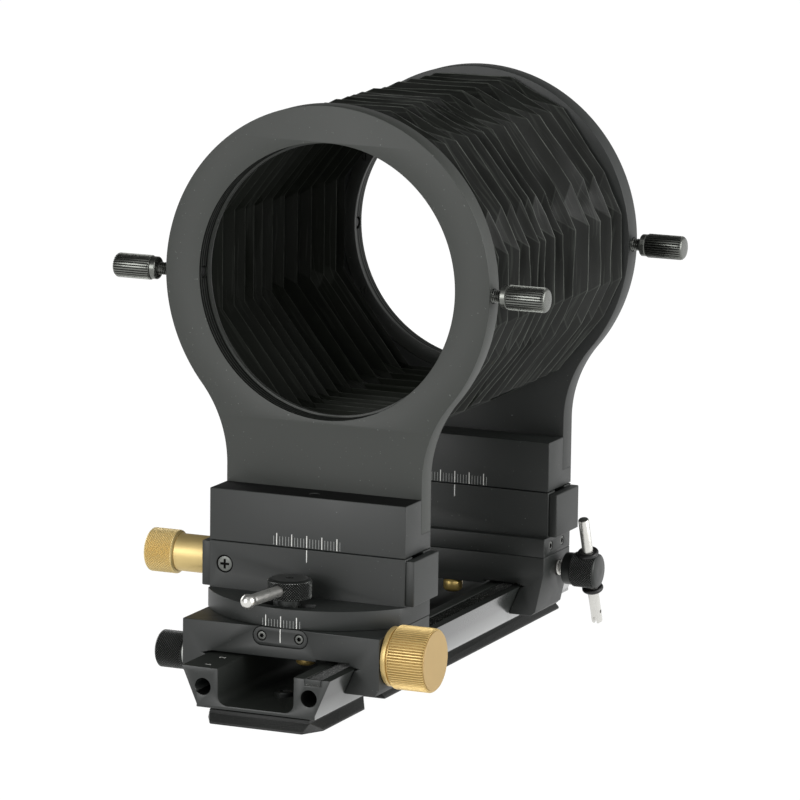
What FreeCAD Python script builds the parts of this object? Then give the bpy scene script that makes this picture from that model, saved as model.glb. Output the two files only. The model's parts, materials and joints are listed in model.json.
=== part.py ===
# Macro bellows unit: two standards on a dovetail rail, joined by a pleated bellows.
# Millimetres. X to the right seen from the front, Y back along the rail, Z up.
# Origin: middle of the rail's length, on the plane the feet stand on, which is the
# mouth of the large tripod thread.
import FreeCAD
import Part
import math
import os
from FreeCAD import Vector as V

os.makedirs("parts", exist_ok=True)

# ---------------------------------------------------------------- driving sizes
# fits
rest_gap = 0.1            # flat sliding faces of two bodies
slide_gap = 0.15          # dovetail flanks, per side
turn_gap = 0.3            # curved faces of two bodies that only pass each other
shaft_gap = 0.05          # radial clearance of a shaft in its bore
soft_gap = 0.4            # between the bellows and a frame

# rail
rail_length = 200.0
rail_top_w = 48.8
rail_base_w = 39.0
rail_h = 12.4
rail_lip_h = 1.2          # upright band under the dovetail flanks
channel_w = 24.8
channel_floor_t = 1.2
channel_r = 3.0
screw_channel_d = 5.1     # cores that run the profile's length, threaded at its ends
screw_channel_x = 17.4
screw_channel_z = 6.4      # above the underside of the rail

# rack and pinion
gear_module = 0.5
pinion_teeth = 16
root_share = 0.35         # half widths of a pinion tooth as shares of its pitch
pitch_share = 0.24
tip_share = 0.105
rack_x = 18.7
rack_w = 5.2
rack_t = 2.1              # strip, from the bottom of its groove to the rail's top
rack_below_top = 0.3      # tooth tips lie this far under the rail's top
backlash = 0.08           # along the pitch line
shaft_d = 5.0
knob_edge = 0.5           # chamfer of the small knobs
shift_knob_edge = 0.6
pinion_from_front = 8.9   # pinion axis behind the carriage's front face

# feet
foot_w = 38.0
foot_t = 4.1
foot_lip = 0.6
foot_flare = 2.5          # height and depth of the 45 degree dovetail
foot_neck_w = 27.0
foot_neck_h = 0.8
front_foot_l = 44.0
front_foot_inset = 0.3
front_foot_cut_x = 3.8
front_foot_cut_y = 7.0
rear_foot_l = 141.0
rear_foot_inset = 52.5    # from the rail's front end
rear_foot_r = 0.5
tripod_d = 8.0            # core of a 3/8 inch thread
small_tripod_d = 5.2      # core of a 1/4 inch thread
foot_screw_d = 3.2
foot_screw_head_d = 5.5
foot_screw_head_h = 1.4
foot_screw_tip = 0.9      # left between the screw's end and the foot's underside

# blocks shared by both standards
block_w = 65.0
standard_depth = 19.0
front_standard_y = -64.5  # front face of the front shift block
standard_spacing = 113.3
carriage_top_z = 27.3
carriage_h = 17.7
ceiling_gap = 0.9         # carriage over the rail's top
relief_x = 25.9           # undercut where flank and ceiling meet
relief_run = 3.3
relief_drop = 0.4         # undercut starts this far under the rail's top
relief_rise = 0.5
channel_relief_h = 0.7    # shallow groove in the front carriage's ceiling
channel_relief_in = 0.6
swing_t = 5.95            # swing plate, and the rear spacer at the same level
guide_h = 14.6
cap_t = 2.8
cap_drop = 0.5            # cap edges inside the guide's outline
cap_edge = 0.25
shift_h = 15.95
rabbet_h = 5.3            # block left below the ring plate's foot

# front carriage
front_carriage_lead = 18.4   # carriage ahead of the shift block
leg_bevel_x = 1.3
leg_bevel_z = 2.2
index_w = 17.8
index_h = 5.5
index_t = 1.2
index_screw_d = 1.6
index_screw_head_d = 3.2
index_screw_l = 4.2
keeper_d = 4.0
keeper_head_d = 6.2
keeper_dome_h = 1.5
keeper_band_h = 1.4
keeper_cone_h = 0.8
keeper_drop = 6.1         # below the carriage's ceiling
front_keeper_back = 18.8  # keeper axis behind the carriage's front face
rear_keeper_back = 2.6

# rear carriage
rear_block_lead = 2.8     # carriage and spacer ahead of the shift guide
rear_carriage_h = 19.3
rear_bevel_z = 14.1       # height of the slanted sides
rear_bevel_x = 2.8
rear_toe_x = 1.4          # small chamfer at the foot of the slanted side
rear_toe_z = 1.3
rear_tongue_w = 23.2      # step of the rear ceiling that lies over the rail's channel
rear_tongue_h = 1.0
spacer_screw_head_d = 3.0
spacer_screw_d = 1.8
spacer_screw_l = 8.0
spacer_screw_back = 5.8    # first screw behind the spacer's front face
spacer_screw_step = 9.5

# swing plate and its lock
swing_axis_back = 20.8    # swing axis behind the shift block's front face
swing_edge_r = 39.0
swing_limit = 9.0         # degrees each way
tongue_r = 26.0
tongue_w = 4.0
tongue_h = 2.4
tongue_half_angle = 20.0
lock_stud_d = 5.0
swing_lock_ahead = 12.0   # lock axis ahead of the shift block's front face
swing_lock_depth = 7.8
swing_knob_d = 13.5
swing_knob_h = 6.1
swing_knob_neck_d = 7.0
swing_knob_neck_h = 2.1
lever_d = 3.5
lever_ball_d = 4.5
lever_reach = 23.2
lever_turn = 7.6          # degrees from straight ahead, to the left
lever_height = 3.0        # above the knob's underside

# cross shift
shift_limit = 11.0
screw_d = 5.0
slot_top_w = 8.0
slot_base_w = 11.0
slot_dovetail_h = 3.5
slot_well_w = 8.0
slot_edge = 0.4           # upright edges of the dovetail slot
screw_z = 7.55            # screw axis above the guide's underside
screw_back = 9.6          # screw axis behind the guide's front face
screw_seat = 1.0          # end of the screw inside the right-hand cap
tongue_stop = 0.6         # shift tongue to cap at full shift
barrel_d = 11.6
barrel_l = 11.4
shift_knob_d = 13.6
shift_knob_l = 9.8
guide_screw_d = 3.0
guide_screw_head_d = 5.5
guide_screw_x = -27.4
guide_screw_l = 4.0

# focus knob
focus_knob_d = 19.4
focus_knob_flutes = 70
focus_flute_depth = 0.35
focus_flange_d = 18.1
focus_flange_t = 2.4
focus_flange_c = 0.4
focus_body_l = 11.6
focus_end_t = 0.4
focus_end_d = 18.2
focus_knob_bore = 8.0

# carriage lock knob
carriage_knob_d = 11.6
carriage_knob_l = 13.0
carriage_knob_collar_d = 10.2
carriage_knob_collar_l = 4.1
carriage_lock_back = 12.4    # axis behind the carriage's front face
carriage_lock_up = 4.5       # axis above the carriage's underside
lock_tip_gap = 0.3

# clamp knob with its sliding bar
clamp_back = 10.2         # axis behind the rear block's front face
clamp_down = 5.4          # axis below the carriage's top
clamp_reach = 14.0        # stud inside the carriage
clamp_neck = 2.5
clamp_collar_d = 10.4
clamp_collar_l = 3.1
clamp_knob_d = 11.4
clamp_knob_l = 7.6
clamp_cap_t = 0.7
bar_d = 3.5
bar_l = 38.6
bar_tilt = 21.0           # degrees from upright
bar_from_end = 3.1        # bar axis to the knob's end face
bar_edge = 0.3
bar_slot_w = 1.0
bar_slot_depth = 2.6
bar_hole_d = 1.2
bar_hole_up = 4.0         # hole above the bar's lower end
ring_thick = 1.7          # rubber ring section

# ring plates
ring_d = 107.2
ring_bore_d = 84.4
ring_z = 79.7             # ring centre above the shift block's underside
ring_t = 7.2
neck_r = 38.0
clamp_ring_lip = 0.7        # stands inside the plate's bore
clamp_ring_land = 3.8       # lies on the plate round its bore
clamp_ring_t = 1.5
ring_screw_d = 3.0
ring_screw_head_d = 5.6
ring_screw_x = 22.0
ring_screw_up = 5.0       # above the rabbet
ring_screw_l = 9.0
bezel_screws = 6
bezel_screw_d = 2.4

# thumbscrews
thumb_d = 4.0
thumb_set_back = 0.2      # tip to the bore's wall, backed out
thumb_pad_d = 3.2         # swivelling tip in the screw's end
thumb_pad_l = 1.6
thumb_spigot_d = 1.8
thumb_spigot_l = 1.2
thumb_back = 3.3          # axis behind the ring plate's front face
thumb_down = 0.4          # axis below the ring's centre
thumb_neck = 2.7          # bare thread outside the ring
thumb_sink_d = 5.0        # 45 degree countersink of its threaded hole
thumb_collar_d = 7.0
thumb_collar_l = 1.7
thumb_collar_edge = 0.3
thumb_chamfer = 0.4
thumb_head_d = 7.6
thumb_head_l = 12.1
thumb_flutes = 24
thumb_flute_depth = 0.35
thumb_end_t = 0.5

# bellows
pleats = 13
ridge_w = 52.3            # half width over the ridges
ridge_h = 51.0            # half height over the ridges
ridge_side = 10.2         # half length of a ridge's upright flat
ridge_top = 13.0          # half length of a ridge's level flat
ridge_out_x = 46.0        # outer corner of a ridge's slanting flat
ridge_out_z = 23.0
ridge_up_x = 31.0         # upper corner of a ridge's slanting flat
valley_w = 45.0           # half width and half height over the valleys
valley_side = 15.0        # half length of a valley's upright flat
valley_top = 21.5         # half length of a valley's level flat
fabric_t = 0.8

# ---------------------------------------------------------------- derived sizes
rail_z = foot_t + foot_neck_h
rail_top_z = rail_z + rail_h
floor_z = rail_z + channel_floor_t
flank_slope = (rail_top_w - rail_base_w) / 2 / (rail_h - rail_lip_h)
rail_front_y = -rail_length / 2
ceiling_z = rail_top_z + ceiling_gap
carriage_base_z = carriage_top_z - carriage_h
swing_z = carriage_top_z + rest_gap
swing_top_z = swing_z + swing_t
guide_top_z = swing_top_z + guide_h
shift_z = guide_top_z + rest_gap + slide_gap
shift_top_z = shift_z + shift_h
ring_centre_z = shift_z + ring_z
thumb_z = ring_centre_z - thumb_down
rear_standard_y = front_standard_y + standard_spacing
front_carriage_y = front_standard_y - front_carriage_lead
swing_axis_y = front_standard_y + swing_axis_back
plate_back = standard_depth - ring_t
pitch_r = gear_module * pinion_teeth / 2
pitch_z = rail_top_z - rack_below_top - gear_module
pinion_z = pitch_z + pitch_r
pinion_y = front_carriage_y + pinion_from_front
half_w = block_w / 2
clamp_ring_id = ring_bore_d - 2 * clamp_ring_lip
clamp_ring_od = ring_bore_d + 2 * clamp_ring_land

X, Y, Z = V(1, 0, 0), V(0, 1, 0), V(0, 0, 1)


# ---------------------------------------------------------------- helpers
def box(x0, x1, y0, y1, z0, z1):
    return Part.makeBox(x1 - x0, y1 - y0, z1 - z0, V(x0, y0, z0))


def rod(start, direction, radius, length):
    return Part.makeCylinder(radius, length, start, direction)


def face(points):
    return Part.Face(Part.makePolygon(points + [points[0]]))


def prism_y(profile, y0, length):
    """Profile of (x, z) points, drawn out along Y."""
    return face([V(x, y0, z) for x, z in profile]).extrude(V(0, length, 0))


def prism_x(profile, x0, length):
    """Profile of (y, z) points, drawn out along X."""
    return face([V(x0, y, z) for y, z in profile]).extrude(V(length, 0, 0))


def mirrored(profile):
    """A right-hand half profile closed by its mirror image about x = 0."""
    return profile + [(-x, z) for x, z in reversed(profile)]


def turned(steps, start, direction):
    """Solid of revolution: steps are (length, radius at start, radius at end)."""
    pts = [V(0, 0, 0)]
    at = 0.0
    for length, r0, r1 in steps:
        pts.append(V(r0, 0, at))
        at += length
        pts.append(V(r1, 0, at))
    pts.append(V(0, 0, at))
    clean = [pts[0]]
    for p in pts[1:]:
        if (p - clean[-1]).Length > 1e-6:
            clean.append(p)
    solid = face(clean).revolve(V(0, 0, 0), Z, 360)
    solid.Placement = FreeCAD.Placement(start, FreeCAD.Rotation(Z, direction))
    return solid


def fluted(radius, depth, count, start, direction, length):
    """Straight-fluted grip: trapezoid ribs round a cylinder."""
    pts = []
    step = 2 * math.pi / count
    for i in range(count):
        for share, r in ((0.0, radius), (0.45, radius), (0.62, radius - depth), (0.83, radius - depth)):
            a = (i + share) * step
            pts.append(V(r * math.cos(a), r * math.sin(a), 0))
    solid = face(pts).extrude(V(0, 0, length))
    solid.Placement = FreeCAD.Placement(start, FreeCAD.Rotation(Z, direction))
    return solid


def joined(first, *others):
    return first.fuse(list(others)).removeSplitter()


def countersunk(head_centre, direction, head_d, shank_d, length):
    """Countersunk screw, its head flush at head_centre, running along direction."""
    cone = (head_d - shank_d) / 2
    return turned([(cone, head_d / 2, shank_d / 2), (length - cone, shank_d / 2, shank_d / 2)],
                  head_centre, direction)


def capped(head_centre, direction, head_d, head_h, shank_d, length):
    """Cheese-head screw whose head ends where the shank starts, at head_centre."""
    return turned([(head_h * 0.25, head_d * 0.4, head_d / 2), (head_h * 0.75, head_d / 2, head_d / 2),
                   (length, shank_d / 2, shank_d / 2)], head_centre - direction * head_h, direction)


NODES = {}


def keep(name, shape):
    NODES[name] = shape


# ---------------------------------------------------------------- rail and feet
def rail_half_width(z):
    return rail_top_w / 2 - (rail_top_z - z) * flank_slope


outline = mirrored([(rail_base_w / 2, rail_z), (rail_base_w / 2, rail_z + rail_lip_h),
                    (rail_top_w / 2, rail_top_z)])
rail = prism_y(outline, rail_front_y, rail_length)
channel = box(-channel_w / 2, channel_w / 2, rail_front_y - 1, -rail_front_y + 1,
              floor_z, rail_top_z + 1)
low_edges = [e for e in channel.Edges
             if abs(e.BoundBox.ZMax - floor_z) < 1e-6 and e.BoundBox.YLength > 1]
rail = rail.cut(channel.makeFillet(channel_r, low_edges))
rail = rail.cut(box(rack_x - rack_w / 2, rack_x + rack_w / 2, rail_front_y - 1, -rail_front_y + 1,
                    rail_top_z - rack_t, rail_top_z + 1))
for side in (-1, 1):
    rail = rail.cut(rod(V(side * screw_channel_x, rail_front_y, rail_z + screw_channel_z), Y,
                        screw_channel_d / 2, rail_length))

# rack strip: teeth with 20 degree flanks, one tooth gap under the pinion's lowest tooth
pitch = math.pi * gear_module
lean = gear_module * math.tan(math.radians(20))
root_z = pitch_z - 1.25 * gear_module
tip_z = pitch_z + gear_module
rack_profile = [(rail_front_y, rail_top_z - rack_t), (rail_front_y, root_z)]
first = math.ceil((rail_front_y - pinion_y) / pitch) + 1
last = math.floor((-rail_front_y - pinion_y) / pitch) - 1
for i in range(first, last + 1):
    mid = pinion_y + (i + 0.5) * pitch
    base_half = pitch / 4 + 1.25 * lean - backlash / 2
    tip_half = pitch / 4 - lean - backlash / 2
    rack_profile += [(mid - base_half, root_z), (mid - tip_half, tip_z),
                     (mid + tip_half, tip_z), (mid + base_half, root_z)]
rack_profile += [(-rail_front_y, root_z), (-rail_front_y, rail_top_z - rack_t)]
keep("gear_rack", prism_x(rack_profile, rack_x - rack_w / 2, rack_w))


def foot_section(width):
    """Dovetail foot: upright lip, 45 degree flanks, straight top, narrow neck."""
    w = width / 2
    return mirrored([(w, 0), (w, foot_lip), (w - foot_flare, foot_lip + foot_flare),
                     (w - foot_flare, foot_t)])


def neck(y0, y1):
    inset = (foot_w - foot_neck_w) / 2
    return box(-foot_neck_w / 2, foot_neck_w / 2, y0 + inset, y1 - inset, foot_t, rail_z)


front_foot_y = rail_front_y + front_foot_inset
front_foot_end = front_foot_y + front_foot_l
front_mid = (front_foot_y + front_foot_end) / 2
front_foot = prism_y(foot_section(foot_w), front_foot_y, front_foot_l)
front_foot = front_foot.common(prism_x([(front_mid + y, z) for y, z in foot_section(front_foot_l)],
                                       -foot_w, 2 * foot_w))
corner = [(foot_w / 2 - front_foot_cut_x, front_foot_l / 2),
          (foot_w / 2, front_foot_l / 2 - front_foot_cut_y)]
plan = []
for sx, sy, order in ((1, 1, 1), (1, -1, -1), (-1, -1, 1), (-1, 1, -1)):
    plan += [V(sx * x, front_mid + sy * y, 0) for x, y in corner[::order]]
front_foot = front_foot.common(face(plan).extrude(V(0, 0, rail_z)))
front_foot = front_foot.fuse(neck(front_foot_y, front_foot_end)).removeSplitter()

rear_foot_y = rail_front_y + rear_foot_inset
rear_foot_end = rear_foot_y + rear_foot_l
rear_foot = prism_y(foot_section(foot_w), rear_foot_y, rear_foot_l)
plan = box(-foot_w / 2, foot_w / 2, rear_foot_y, rear_foot_end, 0, rail_z)
uprights = [e for e in plan.Edges if e.BoundBox.ZLength > rail_z / 2]
rear_foot = rear_foot.common(plan.makeFillet(rear_foot_r, uprights))
rear_foot = rear_foot.fuse(neck(rear_foot_y, rear_foot_end)).removeSplitter()

small_tripod_y = front_mid + front_foot_l / 5
front_foot = front_foot.cut(rod(V(0, small_tripod_y, 0), Z, small_tripod_d / 2, rail_z))
rear_foot = rear_foot.cut(rod(V(0, 0, 0), Z, tripod_d / 2, rail_z))

foot_screws = []
for y in (front_mid - front_foot_l / 18, front_foot_end - front_foot_l / 7,
          rear_foot_y + rear_foot_l / 10, rear_foot_y + rear_foot_l / 2,
          rear_foot_end - rear_foot_l / 10):
    screw = capped(V(0, y, floor_z), Z * -1, foot_screw_head_d, foot_screw_head_h, foot_screw_d,
                   floor_z - foot_screw_tip)
    foot_screws.append(screw)
    rail, front_foot, rear_foot = (s.cut(screw) for s in (rail, front_foot, rear_foot))
keep("rail", rail)
keep("front_foot", front_foot)
keep("rear_foot", rear_foot)
keep("foot_screws", Part.makeCompound(foot_screws))


# ---------------------------------------------------------------- carriages
def saddle(base_z):
    """The space that the rail takes in a carriage, its flanks clear by slide_gap."""
    out = slide_gap * math.hypot(1, flank_slope)
    flank_top = rail_top_z - relief_drop
    return mirrored([(rail_half_width(base_z - 1) + out, base_z - 1),
                     (rail_half_width(flank_top) + out, flank_top),
                     (relief_x, flank_top + relief_rise), (relief_x - relief_run, ceiling_z)])


def carriage(y0, length, side):
    """Saddle-shaped block: side is the right-hand outer profile from the top down."""
    body = prism_y(mirrored([(x, z) for x, z in side]), y0, length)
    return body.cut(prism_y(saddle(side[-1][1]), y0 - 1, length + 2))


def keeper(y):
    """Bolt whose domed head hangs from the carriage into the rail's channel."""
    grip_l = carriage_h / 3
    r, head = keeper_d / 2, keeper_head_d / 2
    shank_l = keeper_drop - keeper_dome_h - keeper_band_h - keeper_cone_h + grip_l
    return turned([(keeper_dome_h * 0.45, head * 0.62, head * 0.92),
                   (keeper_dome_h * 0.55, head * 0.92, head), (keeper_band_h, head, head),
                   (keeper_cone_h, head, r), (shank_l, r, r)],
                  V(0, y, ceiling_z - keeper_drop), Z)


front_side = [(half_w, carriage_top_z), (half_w, carriage_base_z + leg_bevel_z),
              (half_w - leg_bevel_x, carriage_base_z)]
front_carriage_l = front_carriage_lead + standard_depth
front_carriage = carriage(front_carriage_y, front_carriage_l, front_side)
front_carriage = front_carriage.cut(box(channel_w / 2 - channel_relief_in, relief_x - relief_run,
                                        front_carriage_y - 1, front_carriage_y + front_carriage_l + 1,
                                        ceiling_z - 1, ceiling_z + channel_relief_h))
# pinion pocket and shaft bore
pocket_half = rack_w / 2 + soft_gap
pocket_r = pitch_r + gear_module + turn_gap
front_carriage = front_carriage.cut(rod(V(rack_x - pocket_half, pinion_y, pinion_z), X,
                                        pocket_r, 2 * pocket_half))
front_carriage = front_carriage.cut(box(rack_x - pocket_half, rack_x + pocket_half, pinion_y - pocket_r,
                                        pinion_y + pocket_r, ceiling_z - 1, pinion_z))
bore_r = shaft_d / 2 + shaft_gap
shaft_start = rack_x - rack_w / 2 - pitch_r
front_carriage = front_carriage.cut(rod(V(shaft_start - shaft_gap, pinion_y, pinion_z), X,
                                        bore_r, half_w))
# bore of the carriage lock
lock_y = front_carriage_y + carriage_lock_back
lock_z = carriage_base_z + carriage_lock_up
front_carriage = front_carriage.cut(rod(V(-half_w - 1, lock_y, lock_z), X,
                                        lock_stud_d / 2 + shaft_gap, half_w - rail_base_w / 2))
# curved groove for the swing plate's tongue, and bore for its lock
groove_angle = tongue_half_angle + swing_limit + 2


def arc_bar(radius, width, half_angle, z0, height):
    """Curved bar about the swing axis, centred on straight ahead, with square ends."""
    centre = V(0, swing_axis_y, z0)
    start = V(-math.sin(math.radians(half_angle)), -math.cos(math.radians(half_angle)), 0)
    section = face([centre + start * (radius + width / 2 * s) + Z * h
                    for s, h in ((-1, 0), (1, 0), (1, height), (-1, height))])
    return section.revolve(centre, Z, 2 * half_angle)


groove_depth = tongue_h + turn_gap
front_carriage = front_carriage.cut(arc_bar(tongue_r, tongue_w + 2 * turn_gap, groove_angle,
                                            carriage_top_z - groove_depth, groove_depth + 1))
swing_lock_y = front_standard_y - swing_lock_ahead
lock_floor = carriage_top_z - swing_lock_depth - shaft_gap
front_carriage = front_carriage.cut(rod(V(0, swing_lock_y, lock_floor), Z,
                                        lock_stud_d / 2 + shaft_gap, carriage_h))
# keeper bolt
front_keeper_y = front_carriage_y + front_keeper_back
front_keeper = keeper(front_keeper_y)
front_carriage = front_carriage.cut(front_keeper)
keep("front_keeper_bolt", front_keeper)
# index plate, a stadium let into the front face just under the top edge
index_z = carriage_top_z - index_h / 2
span = index_w / 2 - index_h / 2


def stadium(half_span, radius, y0, depth):
    z = index_z
    shape = box(-half_span, half_span, y0, y0 + depth, z - radius, z + radius)
    for s in (-1, 1):
        shape = shape.fuse(rod(V(s * half_span, y0, z), Y, radius, depth))
    return shape.removeSplitter()


index_plate = stadium(span, index_h / 2, front_carriage_y, index_t)
front_carriage = front_carriage.cut(index_plate)
index_screws = [countersunk(V(s * span, front_carriage_y, index_z), Y, index_screw_head_d, index_screw_d,
                            index_screw_l) for s in (-1, 1)]
for screw in index_screws:
    index_plate = index_plate.cut(screw)
    front_carriage = front_carriage.cut(screw)
keep("index_plate", index_plate)
keep("index_plate_screws", Part.makeCompound(index_screws))
keep("front_carriage", front_carriage)

rear_block_y = rear_standard_y - rear_block_lead
rear_block_l = rear_block_lead + standard_depth
rear_base_z = carriage_top_z - rear_carriage_h
rear_side = [(half_w, carriage_top_z), (half_w, rear_base_z + rear_bevel_z),
             (half_w - rear_bevel_x, rear_base_z + rear_toe_z),
             (half_w - rear_bevel_x - rear_toe_x, rear_base_z)]
rear_carriage = carriage(rear_block_y, rear_block_l, rear_side)
rear_tongue = box(-rear_tongue_w / 2, rear_tongue_w / 2, rear_block_y, rear_block_y + rear_block_l,
                  ceiling_z - rear_tongue_h, ceiling_z + rear_tongue_h)
rear_carriage = joined(rear_carriage, rear_tongue)
rear_keeper = keeper(rear_block_y + rear_keeper_back)
rear_carriage = rear_carriage.cut(rear_keeper)
keep("rear_keeper_bolt", rear_keeper)
clamp_y = rear_standard_y + clamp_back
clamp_z = carriage_top_z - clamp_down
rear_carriage = rear_carriage.cut(rod(V(half_w - clamp_reach, clamp_y, clamp_z), X,
                                      lock_stud_d / 2 + shaft_gap, clamp_reach + 1))
keep("rear_carriage", rear_carriage)

# ---------------------------------------------------------------- swing plate and rear spacer
swing_back_y = front_standard_y + standard_depth
chord = math.sqrt(swing_edge_r ** 2 - half_w ** 2)
arc = Part.Arc(V(-half_w, swing_axis_y - chord, swing_z), V(0, swing_axis_y - swing_edge_r, swing_z),
               V(half_w, swing_axis_y - chord, swing_z)).toShape()
back = Part.makePolygon([V(half_w, swing_axis_y - chord, swing_z), V(half_w, swing_back_y, swing_z),
                         V(-half_w, swing_back_y, swing_z), V(-half_w, swing_axis_y - chord, swing_z)])
swing_plate = Part.Face(Part.Wire([arc] + back.Edges)).extrude(V(0, 0, swing_t))
swing_tongue = arc_bar(tongue_r, tongue_w, tongue_half_angle, swing_z - tongue_h, tongue_h + 1)
swing_plate = joined(swing_plate, swing_tongue)
lock_path_r = swing_axis_back + swing_lock_ahead
slot_w = lock_stud_d + 2 * turn_gap
slot_angle = swing_limit + math.degrees(slot_w / 2 / lock_path_r)
swing_plate = swing_plate.cut(arc_bar(lock_path_r, slot_w, slot_angle, swing_z - 1, swing_t + 2))
keep("swing_plate", swing_plate)

spacer = box(-half_w, half_w, rear_block_y, rear_block_y + rear_block_l, carriage_top_z, swing_top_z)
spacer_screws = []
for step in range(2):
    screw_y = rear_block_y + spacer_screw_back + step * spacer_screw_step
    screw = countersunk(V(half_w, screw_y, (carriage_top_z + swing_top_z) / 2), X * -1,
                        spacer_screw_head_d, spacer_screw_d, spacer_screw_l)
    spacer_screws.append(screw)
    spacer = spacer.cut(screw)
keep("rear_spacer", spacer)
keep("rear_spacer_screws", Part.makeCompound(spacer_screws))


# ---------------------------------------------------------------- shift guides, blocks and screws
def slot_profile(y_front, out):
    """Dovetail slot with a round-bottomed well for the screw; out widens it all round."""
    c = y_front + screw_back
    top, low = slot_top_w / 2 - out, slot_base_w / 2 - out
    dove_z = guide_top_z - slot_dovetail_h + out
    well = slot_well_w / 2 - out
    axis_z = swing_top_z + screw_z
    return c, top, low, dove_z, well, axis_z


def slot_solid(y_front, out, x0, x1, top_z):
    c, top, low, dove_z, well, axis_z = slot_profile(y_front, out)
    half = [(top, top_z), (top, guide_top_z - slot_edge), (low, dove_z + slot_edge), (low, dove_z)]
    dove = prism_x([(c - y, z) for y, z in half] + [(c + y, z) for y, z in reversed(half)], x0, x1 - x0)
    drop = box(x0, x1, c - well, c + well, axis_z, dove_z + slot_edge / 2)
    return joined(dove, drop, rod(V(x0, c, axis_z), X, well, x1 - x0))


def standard(side, y_front):
    """One shift assembly: guide with caps, block, lead screw, knob and screws."""
    back_y = y_front + standard_depth
    guide = box(-half_w, half_w, y_front, back_y, swing_top_z, guide_top_z)
    guide = guide.cut(slot_solid(y_front, 0, -half_w - 1, half_w + 1, guide_top_z + 1))
    axis = V(0, y_front + screw_back, swing_top_z + screw_z)
    screw = countersunk(V(guide_screw_x, y_front, axis.z), Y,
                        guide_screw_head_d, guide_screw_d, guide_screw_l)
    guide = guide.cut(screw)
    keep(side + "_shift_guide", guide)
    keep(side + "_guide_screw", screw)
    for name, x0 in (("left", -half_w - cap_t), ("right", half_w)):
        cap = box(x0, x0 + cap_t, y_front + cap_drop, back_y,
                  swing_top_z + cap_drop / 2, guide_top_z - cap_drop)
        outer = x0 if name == "left" else x0 + cap_t
        rim = [e for e in cap.Edges
               if max(abs(e.BoundBox.XMin - outer), abs(e.BoundBox.XMax - outer)) < 1e-6]
        cap = cap.makeChamfer(cap_edge, rim)
        through = cap_t + 1 if name == "left" else screw_seat + rest_gap
        cap = cap.cut(rod(V(x0, axis.y, axis.z), X, screw_d / 2 + shaft_gap, through))
        keep(side + "_guide_cap_" + name, cap)
    # shift block with its rabbet for the ring plate, dovetail tongue and nut bore
    rabbet_z = shift_z + rabbet_h
    seat_y = y_front + plate_back
    block = prism_x([(y_front, shift_z), (back_y, shift_z), (back_y, rabbet_z), (seat_y, rabbet_z),
                     (seat_y, shift_top_z), (y_front, shift_top_z)], -half_w, block_w)
    reach = half_w - shift_limit - tongue_stop
    block = joined(block, slot_solid(y_front, slide_gap, -reach, reach, shift_z + 1))
    block = block.cut(rod(V(-half_w, axis.y, axis.z), X, screw_d / 2 + shaft_gap, block_w))
    # lead screw from the knob's shoulder to a blind seat in the right cap
    knob_x = -half_w - cap_t - rest_gap
    end_x = half_w + screw_seat
    lead = rod(V(knob_x - barrel_l, axis.y, axis.z), X, screw_d / 2, barrel_l + end_x - knob_x)
    keep(side + "_lead_screw", lead)
    r, c = shift_knob_d / 2, shift_knob_edge
    knob = turned([(c, r - c, r), (shift_knob_l - 2 * c, r, r), (c, r, r - c),
                   (barrel_l, barrel_d / 2, barrel_d / 2)],
                  V(knob_x - barrel_l - shift_knob_l, axis.y, axis.z), X)
    keep(side + "_shift_knob", knob.cut(lead))
    return block


def ring_plate(y0, bezel_at_back):
    """Ring on a waisted neck as wide as the shift block, with a seat for the clamp ring."""
    r, centre_z = ring_d / 2, ring_centre_z
    foot_z = shift_z + rabbet_h
    waist_x = half_w + neck_r
    drop = math.sqrt((r + neck_r) ** 2 - waist_x ** 2)
    waist_z = centre_z - drop
    k = r / (r + neck_r)
    touch_x, touch_z = waist_x * k, centre_z - drop * k
    mid_a = math.pi - (math.atan2(touch_z - waist_z, waist_x - touch_x)) / 2

    def p(x, z):
        return V(x, y0, z)

    mx, mz = waist_x + neck_r * math.cos(mid_a), waist_z + neck_r * math.sin(mid_a)
    edges = [Part.makeLine(p(-half_w, foot_z), p(half_w, foot_z)),
             Part.makeLine(p(half_w, foot_z), p(half_w, waist_z)),
             Part.Arc(p(half_w, waist_z), p(mx, mz), p(touch_x, touch_z)).toShape(),
             Part.Arc(p(touch_x, touch_z), p(0, centre_z + r), p(-touch_x, touch_z)).toShape(),
             Part.Arc(p(-touch_x, touch_z), p(-mx, mz), p(-half_w, waist_z)).toShape(),
             Part.makeLine(p(-half_w, waist_z), p(-half_w, foot_z))]
    plate = Part.Face(Part.Wire(edges)).extrude(V(0, ring_t, 0))
    plate = plate.cut(rod(V(0, y0 - 1, centre_z), Y, ring_bore_d / 2, ring_t + 2))
    seat_y = y0 + ring_t - clamp_ring_t if bezel_at_back else y0
    plate = plate.cut(rod(V(0, seat_y, centre_z), Y, clamp_ring_od / 2, clamp_ring_t))
    return plate, seat_y


def thumb_pad(sign, y):
    """Tip that swivels in the thumbscrew's end and bears on what the ring holds."""
    r = thumb_pad_d / 2
    return turned([(thumb_chamfer, r - thumb_chamfer, r), (thumb_pad_l - thumb_chamfer, r, r),
                   (thumb_spigot_l, thumb_spigot_d / 2, thumb_spigot_d / 2)],
                  V(sign * (ring_bore_d / 2 + thumb_set_back), y, thumb_z), X * sign)


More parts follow.
